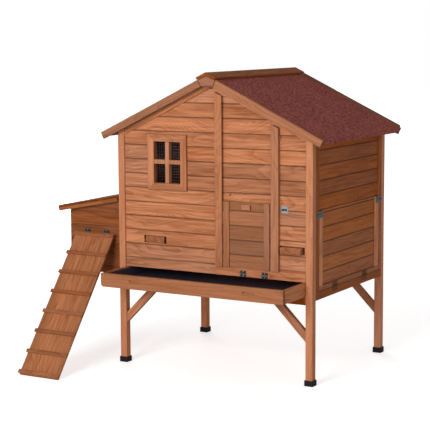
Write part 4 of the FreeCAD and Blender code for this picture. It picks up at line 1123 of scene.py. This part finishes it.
@dataclass
class PopDoor:
    """Sliding door of boards and stiles between its two grooved guides."""

    edge: float = 1.5 * MM
    first_seam: float = 555.3 * MM

    def build(self, shop: Workshop) -> None:
        """Dresses the door and its guides."""
        shop.dress(StainedFir(Grain.UPRIGHT, Stain.WALL, contrast=0.7), "door_guides", edge=self.edge)
        # The door boards carry a lighter painted shade along their joints.
        boards = StainedFir(Grain.ALONG_X, Stain.TRAY, first_seam=self.first_seam, seam_shade=0.66)
        shop.dress(boards, "pop_door_boards", edge=1.0 * MM)
        shop.dress(StainedFir(Grain.UPRIGHT, Stain.TRAY), "pop_door_stiles", edge=self.edge)
        shop.dress(StainedFir(Grain.ALONG_X, Stain.WALL), "pop_door_pull", edge=2.0 * MM)


@dataclass
class FrontFittings:
    """Turn button on its plate, and the small screw eye above it."""

    corner_inset: float = 5.0 * MM
    first_turn: float = 0.3
    next_turn: float = 0.7
    screw: ScrewHead = field(default_factory=lambda: ScrewHead(2.2 * MM, 0.9 * MM, 0.6 * MM))

    def build(self, shop: Workshop) -> None:
        """Dresses the fittings and fits the plate's screws."""
        shop.dress(WORN_ZINC, "button_plate", "cord_eye")
        shop.dress(BLACK_STEEL, "turn_button")
        low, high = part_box("button_plate")
        inset = self.corner_inset
        made = bmesh.new()
        for number, x in enumerate((low.x + inset, high.x - inset)):
            for step, z in enumerate((low.z + inset, high.z - inset)):
                turn = self.first_turn + number + self.next_turn * step
                self.screw.add(made, Vector((x, low.y, z)), Vector((0, -1, 0)), turn)
        shop.fit("button_plate_screws", made, "house", BRAD_STEEL)


@dataclass
class RoostBars:
    """Two bars that slide in through the front wall's slots, on blocks inside."""

    edge: float = 2.5 * MM

    def build(self, shop: Workshop) -> None:
        """Dresses the bars and their blocks."""
        bar = StainedFir(Grain.FLAT_Y, Stain.WALL)
        shop.dress(bar, "roost_bar_left", "roost_bar_right", "roost_rests", edge=self.edge, steps=3)


@dataclass
class HingeScrews:
    """Screws of a pair of butt hinges, and where the hinges' leaves lie."""

    knuckle: float = 3.5 * MM
    leaf_depth: float = 2.0 * MM
    leaf_middle: float = 12.5 * MM
    screw_gap: float = 17 * MM
    hinge_middles: tuple[float, float] = (39.5 * MM, 359.5 * MM)
    screw: ScrewHead = field(default_factory=lambda: ScrewHead(2.0 * MM, 0.5 * MM, 0.35 * MM, 16))

    def leaf(self, made: bmesh.types.BMesh, axis: Vector, reach: Vector, outward: Vector) -> None:
        """Adds the screws of both hinges' leaves on one side of the pin.

        Args:
            made: the mesh.
            axis: a point on the pin, whose Y isn't used.
            reach: the way that the leaf runs from the pin.
            outward: the way that the leaf faces.
        """
        for middle in self.hinge_middles:
            for number in (-1, 0, 1):
                place = axis + reach * self.leaf_middle - outward * self.leaf_depth
                place.y = middle + number * self.screw_gap
                self.screw.add(made, place, outward, 0.6 * number + 20 * middle)


@dataclass
class SideFlap:
    """Drop flap of the right wall, with hinges below and hasps above."""

    edge: float = 1.2 * MM
    board_edge: float = 1.1 * MM
    strip_top: float = 433 * MM
    first_seam: float = 425.5 * MM
    hasp_screws: tuple[float, float] = (6.5 * MM, 21.5 * MM)
    hasp_inset: float = 7 * MM
    hinges: HingeScrews = field(default_factory=HingeScrews)
    screw: ScrewHead = field(default_factory=lambda: ScrewHead(2.7 * MM, 1.0 * MM, 0.7 * MM))

    def build(self, shop: Workshop) -> None:
        """Dresses the flap and fits the screws of its hinges and hasps."""
        # first_seam places the painted shade along the flap boards' joints.
        boards = StainedFir(Grain.ALONG_Y, Stain.FLAP, contrast=0.9, first_seam=self.first_seam)
        shop.dress(boards, "flap_boards", edge=self.board_edge)
        frame_wood = StainedFir(Grain.UPRIGHT_SIDE, Stain.POST, level_below=self.strip_top, level_shade=0.58)
        shop.dress(frame_wood, "flap_frame", edge=self.edge)
        shop.dress(DULL_ZINC, "flap_hasps", "hasp_staple_front", "hasp_staple_rear")
        shop.dress(STAINED_STEEL, "flap_hinge_leaves")
        outward, up = Vector((1, 0, 0)), Vector((0, 0, 1))
        low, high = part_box("flap_hinge_leaves")
        axis = Vector((high.x - self.hinges.knuckle, 0, low.z + self.hinges.knuckle))
        moving, fixed = bmesh.new(), bmesh.new()
        self.hinges.leaf(moving, axis, up, outward)
        for number, (low, high) in enumerate(shop.lumps("flap_hasps")):
            on_flap, inward = (low.y, 1) if number else (high.y, -1)
            for inset in self.hasp_screws:
                for step, z in enumerate((low.z + self.hasp_inset, high.z - self.hasp_inset)):
                    place = Vector((high.x, on_flap + inward * inset, z))
                    self.screw.add(moving, place, outward, 0.5 + 30 * inset + step)
        shop.fit("flap_screws", moving, "flap", BRAD_STEEL)
        self.hinges.leaf(fixed, axis, -up, outward)
        shop.fit("flap_rail_screws", fixed, "house", BRAD_STEEL)


@dataclass
class NestBox:
    """Nest box on the left wall, with a felted lid that lifts."""

    edge: float = 1.3 * MM
    hinges: HingeScrews = field(default_factory=HingeScrews)

    def build(self, shop: Workshop) -> None:
        """Dresses the nest box and fits the screws of its hinges."""
        # The nest box's dark stain is partly painted shade.
        walls = StainedFir(Grain.ALONG_X, Stain.NEST_STAIN_AND_SHADE)
        shop.dress(walls, "nest_walls", edge=self.edge)
        shop.dress(StainedFir(Grain.FLAT_Y, Stain.NEST_STAIN_AND_SHADE), "nest_floor", "lid_boards", edge=1.0 * MM)
        shop.dress(walls, "nest_dividers", edge=self.edge)
        shop.dress(StainedFir(Grain.LID_SLOPE, Stain.CLEAT), "lid_battens", edge=1.6 * MM)
        shop.dress(RoofFelt(), "lid_felt", edge=0.8 * MM)
        shop.dress(ZINC, "lid_hinge_leaves")
        shop.dress(STAINED_STEEL, "fixed_hinge_leaves")
        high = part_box("lid_hinge_leaves")[1]
        axis = Vector((high.x - self.hinges.knuckle, 0, high.z - self.hinges.knuckle))
        down_slope = Vector((-math.cos(LID_PITCH), 0, -math.sin(LID_PITCH)))
        off_lid = Vector((-math.sin(LID_PITCH), 0, math.cos(LID_PITCH)))
        moving, fixed = bmesh.new(), bmesh.new()
        self.hinges.leaf(moving, axis, down_slope, off_lid)
        shop.fit("lid_screws", moving, "lid", BRAD_STEEL)
        self.hinges.leaf(fixed, axis, Vector((0, 0, 1)), Vector((-1, 0, 0)))
        shop.fit("lid_header_screws", fixed, "house", BRAD_STEEL)


@dataclass
class LitterTray:
    """Tray that slides out under the sill, with its black liner."""

    edge: float = 2.0 * MM
    side_edge: float = 1.5 * MM
    bottom_edge: float = 1.0 * MM

    def build(self, shop: Workshop) -> None:
        """Dresses the tray, its liner and its runners."""
        shop.dress(StainedFir(Grain.ALONG_X, Stain.TRAY), "tray_front", edge=self.edge)
        shop.dress(StainedFir(Grain.ALONG_Y, Stain.WALL), "tray_sides", edge=self.side_edge)
        shop.dress(StainedFir(Grain.FLAT_Y, Stain.SIDE), "tray_bottom", "tray_runners", edge=self.bottom_edge)
        shop.dress(PLASTIC_LINER, "tray_liner")


@dataclass
class Ramp:
    """Ramp board with nailed cleats, hooked on a catch of the nest box."""

    board_edge: float = 2.2 * MM
    board_strip: float = 71.4 * MM
    cleat_edge: float = 3.0 * MM
    cleat_thick: float = 9 * MM
    nail_inset: float = 26 * MM
    nail_stagger: float = 1.5 * MM
    catch_screw_rise: float = 9.6 * MM
    next_turn: float = 0.8
    nail: BradHead = field(default_factory=lambda: BradHead(1.9 * MM, 0.4 * MM))
    screw: ScrewHead = field(default_factory=lambda: ScrewHead(2.6 * MM, 0.9 * MM, 0.6 * MM))

    def build(self, shop: Workshop) -> None:
        """Dresses the ramp and its catches, and fits their nails and screws."""
        board = StainedFir(Grain.RAMP, Stain.RAMP, lamella=self.board_strip, knot_chance=0.14)
        shop.dress(board, "ramp_board", edge=self.board_edge)
        shop.dress(StainedFir(Grain.ALONG_X, Stain.CLEAT), "ramp_cleats", edge=self.cleat_edge, steps=3)
        shop.dress(BLACK_STEEL, "ramp_hooks", "catch_plates")
        shop.dress(ZINC, "catch_staples")
        self.cleat_nails(shop)
        self.catch_screws(shop)

    def cleat_nails(self, shop: Workshop) -> None:
        """Fits the nails through each cleat, a little out of line.

        Args:
            shop: the workshop.
        """
        outward = Vector((0, -math.sin(RAMP_PITCH), math.cos(RAMP_PITCH)))
        up_slope = Vector((0, math.cos(RAMP_PITCH), math.sin(RAMP_PITCH)))
        made = bmesh.new()
        for low, high in shop.lumps("ramp_cleats"):
            middle = (low + high) / 2
            for count, x in enumerate((low.x + self.nail_inset, middle.x, high.x - self.nail_inset)):
                place = middle + outward * self.cleat_thick / 2 + up_slope * self.nail_stagger * (count - 1)
                place.x = x
                self.nail.add(made, place, outward)
        shop.fit("cleat_nails", made, "ramp", BRAD_STEEL)

    def catch_screws(self, shop: Workshop) -> None:
        """Fits the screws above and below the bar of each catch.

        Args:
            shop: the workshop.
        """
        made = bmesh.new()
        for number, (low, high) in enumerate(shop.lumps("catch_plates")):
            middle = (low + high) / 2
            for way in (-1, 1):
                place = Vector((middle.x, low.y, middle.z + way * self.catch_screw_rise))
                self.screw.add(made, place, Vector((0, -1, 0)), self.next_turn * number + way)
        shop.fit("catch_screws", made, "house", ZINC)


@dataclass(frozen=True)
class SoftLight:
    """One soft square light: its place, the length of its side in metres and its power in watts."""

    name: str
    place: tuple[float, float, float]
    size: float
    power: float

    def hang(self, target: Vector) -> None:
        """Hangs the light so that it points at a target."""
        data = bpy.data.lights.new(self.name, "AREA")
        data.size, data.energy = self.size, self.power
        thing = put_in_scene(self.name, data)
        thing.location = self.place
        thing.rotation_mode = "QUATERNION"
        thing.rotation_quaternion = (target - Vector(self.place)).to_track_quat("-Z", "Y")


@dataclass
class Studio:
    """Plain pale floor, soft lights and the camera."""

    azimuth: float = math.radians(30.067)
    elevation: float = math.radians(7.543)
    roll: float = math.radians(-0.335)
    lens: float = 117.36
    sensor_width: float = 36.0
    camera_place: tuple[float, float, float] = (3.2614, -5.5505, 1.5465)
    target: tuple[float, float, float] = (0.1, 0.1, 0.7)
    floor_size: float = 60.0
    sky_strength: float = 0.26
    lights: tuple[SoftLight, ...] = (
        SoftLight("key_light", (0.1, -6.0, 2.4), 2.2, 250),
        SoftLight("fill_light", (4.6, -3.4, 1.8), 2.4, 36),
        SoftLight("top_light", (0.6, 0.4, 5.2), 3.0, 14),
        SoftLight("rear_light", (-3.9, 5.0, 1.9), 2.6, 150),
    )

    def build(self, shop: Workshop) -> None:
        """Sets up the camera, the floor, the sky and the lights."""
        self.camera()
        self.floor(shop)
        self.sky()
        for light in self.lights:
            light.hang(Vector(self.target))
        bpy.context.scene.view_settings.view_transform = "Standard"

    def camera(self) -> None:
        """Stands the camera at the front right, a little above the coop's middle."""
        turn, rise = self.azimuth, self.elevation
        ahead = Vector((-math.sin(turn) * math.cos(rise), math.cos(turn) * math.cos(rise), -math.sin(rise)))
        right = Vector((math.cos(turn), math.sin(turn), 0))
        up = right.cross(ahead)
        right, up = (
            right * math.cos(self.roll) + up * math.sin(self.roll),
            up * math.cos(self.roll) - right * math.sin(self.roll),
        )
        data = bpy.data.cameras.new("studio_camera")
        data.lens, data.sensor_width = self.lens, self.sensor_width
        thing = put_in_scene("studio_camera", data)
        stand = Matrix((right, up, -ahead)).transposed().to_4x4()
        thing.matrix_world = Matrix.Translation(self.camera_place) @ stand
        bpy.context.scene.camera = thing

    def floor(self, shop: Workshop) -> None:
        """Lays a round floor that reaches past every view."""
        made = bmesh.new()
        bmesh.ops.create_circle(made, cap_ends=True, segments=64, radius=self.floor_size / 2)
        mesh = bpy.data.meshes.new("studio_floor")
        made.to_mesh(mesh)
        made.free()
        mesh.materials.append(shop.material(StudioFloor()))
        put_in_scene("studio_floor", mesh)

    def sky(self) -> None:
        """Makes a white backdrop that lights the coop more softly than it looks."""
        world = bpy.data.worlds.new("studio_sky")
        bpy.context.scene.world = world
        world.use_nodes = True
        tree = world.node_tree
        ground = tree.nodes["Background"]
        rays = tree.nodes.new("ShaderNodeLightPath").outputs["Is Camera Ray"]
        strength = tree.nodes.new("ShaderNodeMapRange")
        tree.links.new(rays, strength.inputs[0])
        strength.inputs[3].default_value, strength.inputs[4].default_value = self.sky_strength, 1.0
        ground.inputs["Color"].default_value = (1, 1, 1, 1)
        tree.links.new(strength.outputs[0], ground.inputs["Strength"])


def main() -> None:
    """Builds every part of the coop and then the studio."""
    logging.basicConfig(level=logging.INFO, format="%(message)s", stream=sys.stdout)
    shop = Workshop(frame["nodes"])
    assemblies: list[SubAssembly] = [
        HouseFrame(),
        Cladding(),
        Roof(),
        WindowUnit(),
        PopDoor(),
        FrontFittings(),
        RoostBars(),
        SideFlap(),
        NestBox(),
        LitterTray(),
        Ramp(),
    ]
    for assembly in assemblies:
        assembly.build(shop)
        LOG.info("built %s", type(assembly).__name__)
    Studio().build(shop)
    bpy.context.view_layer.update()


if __name__ == "__main__":
    main()
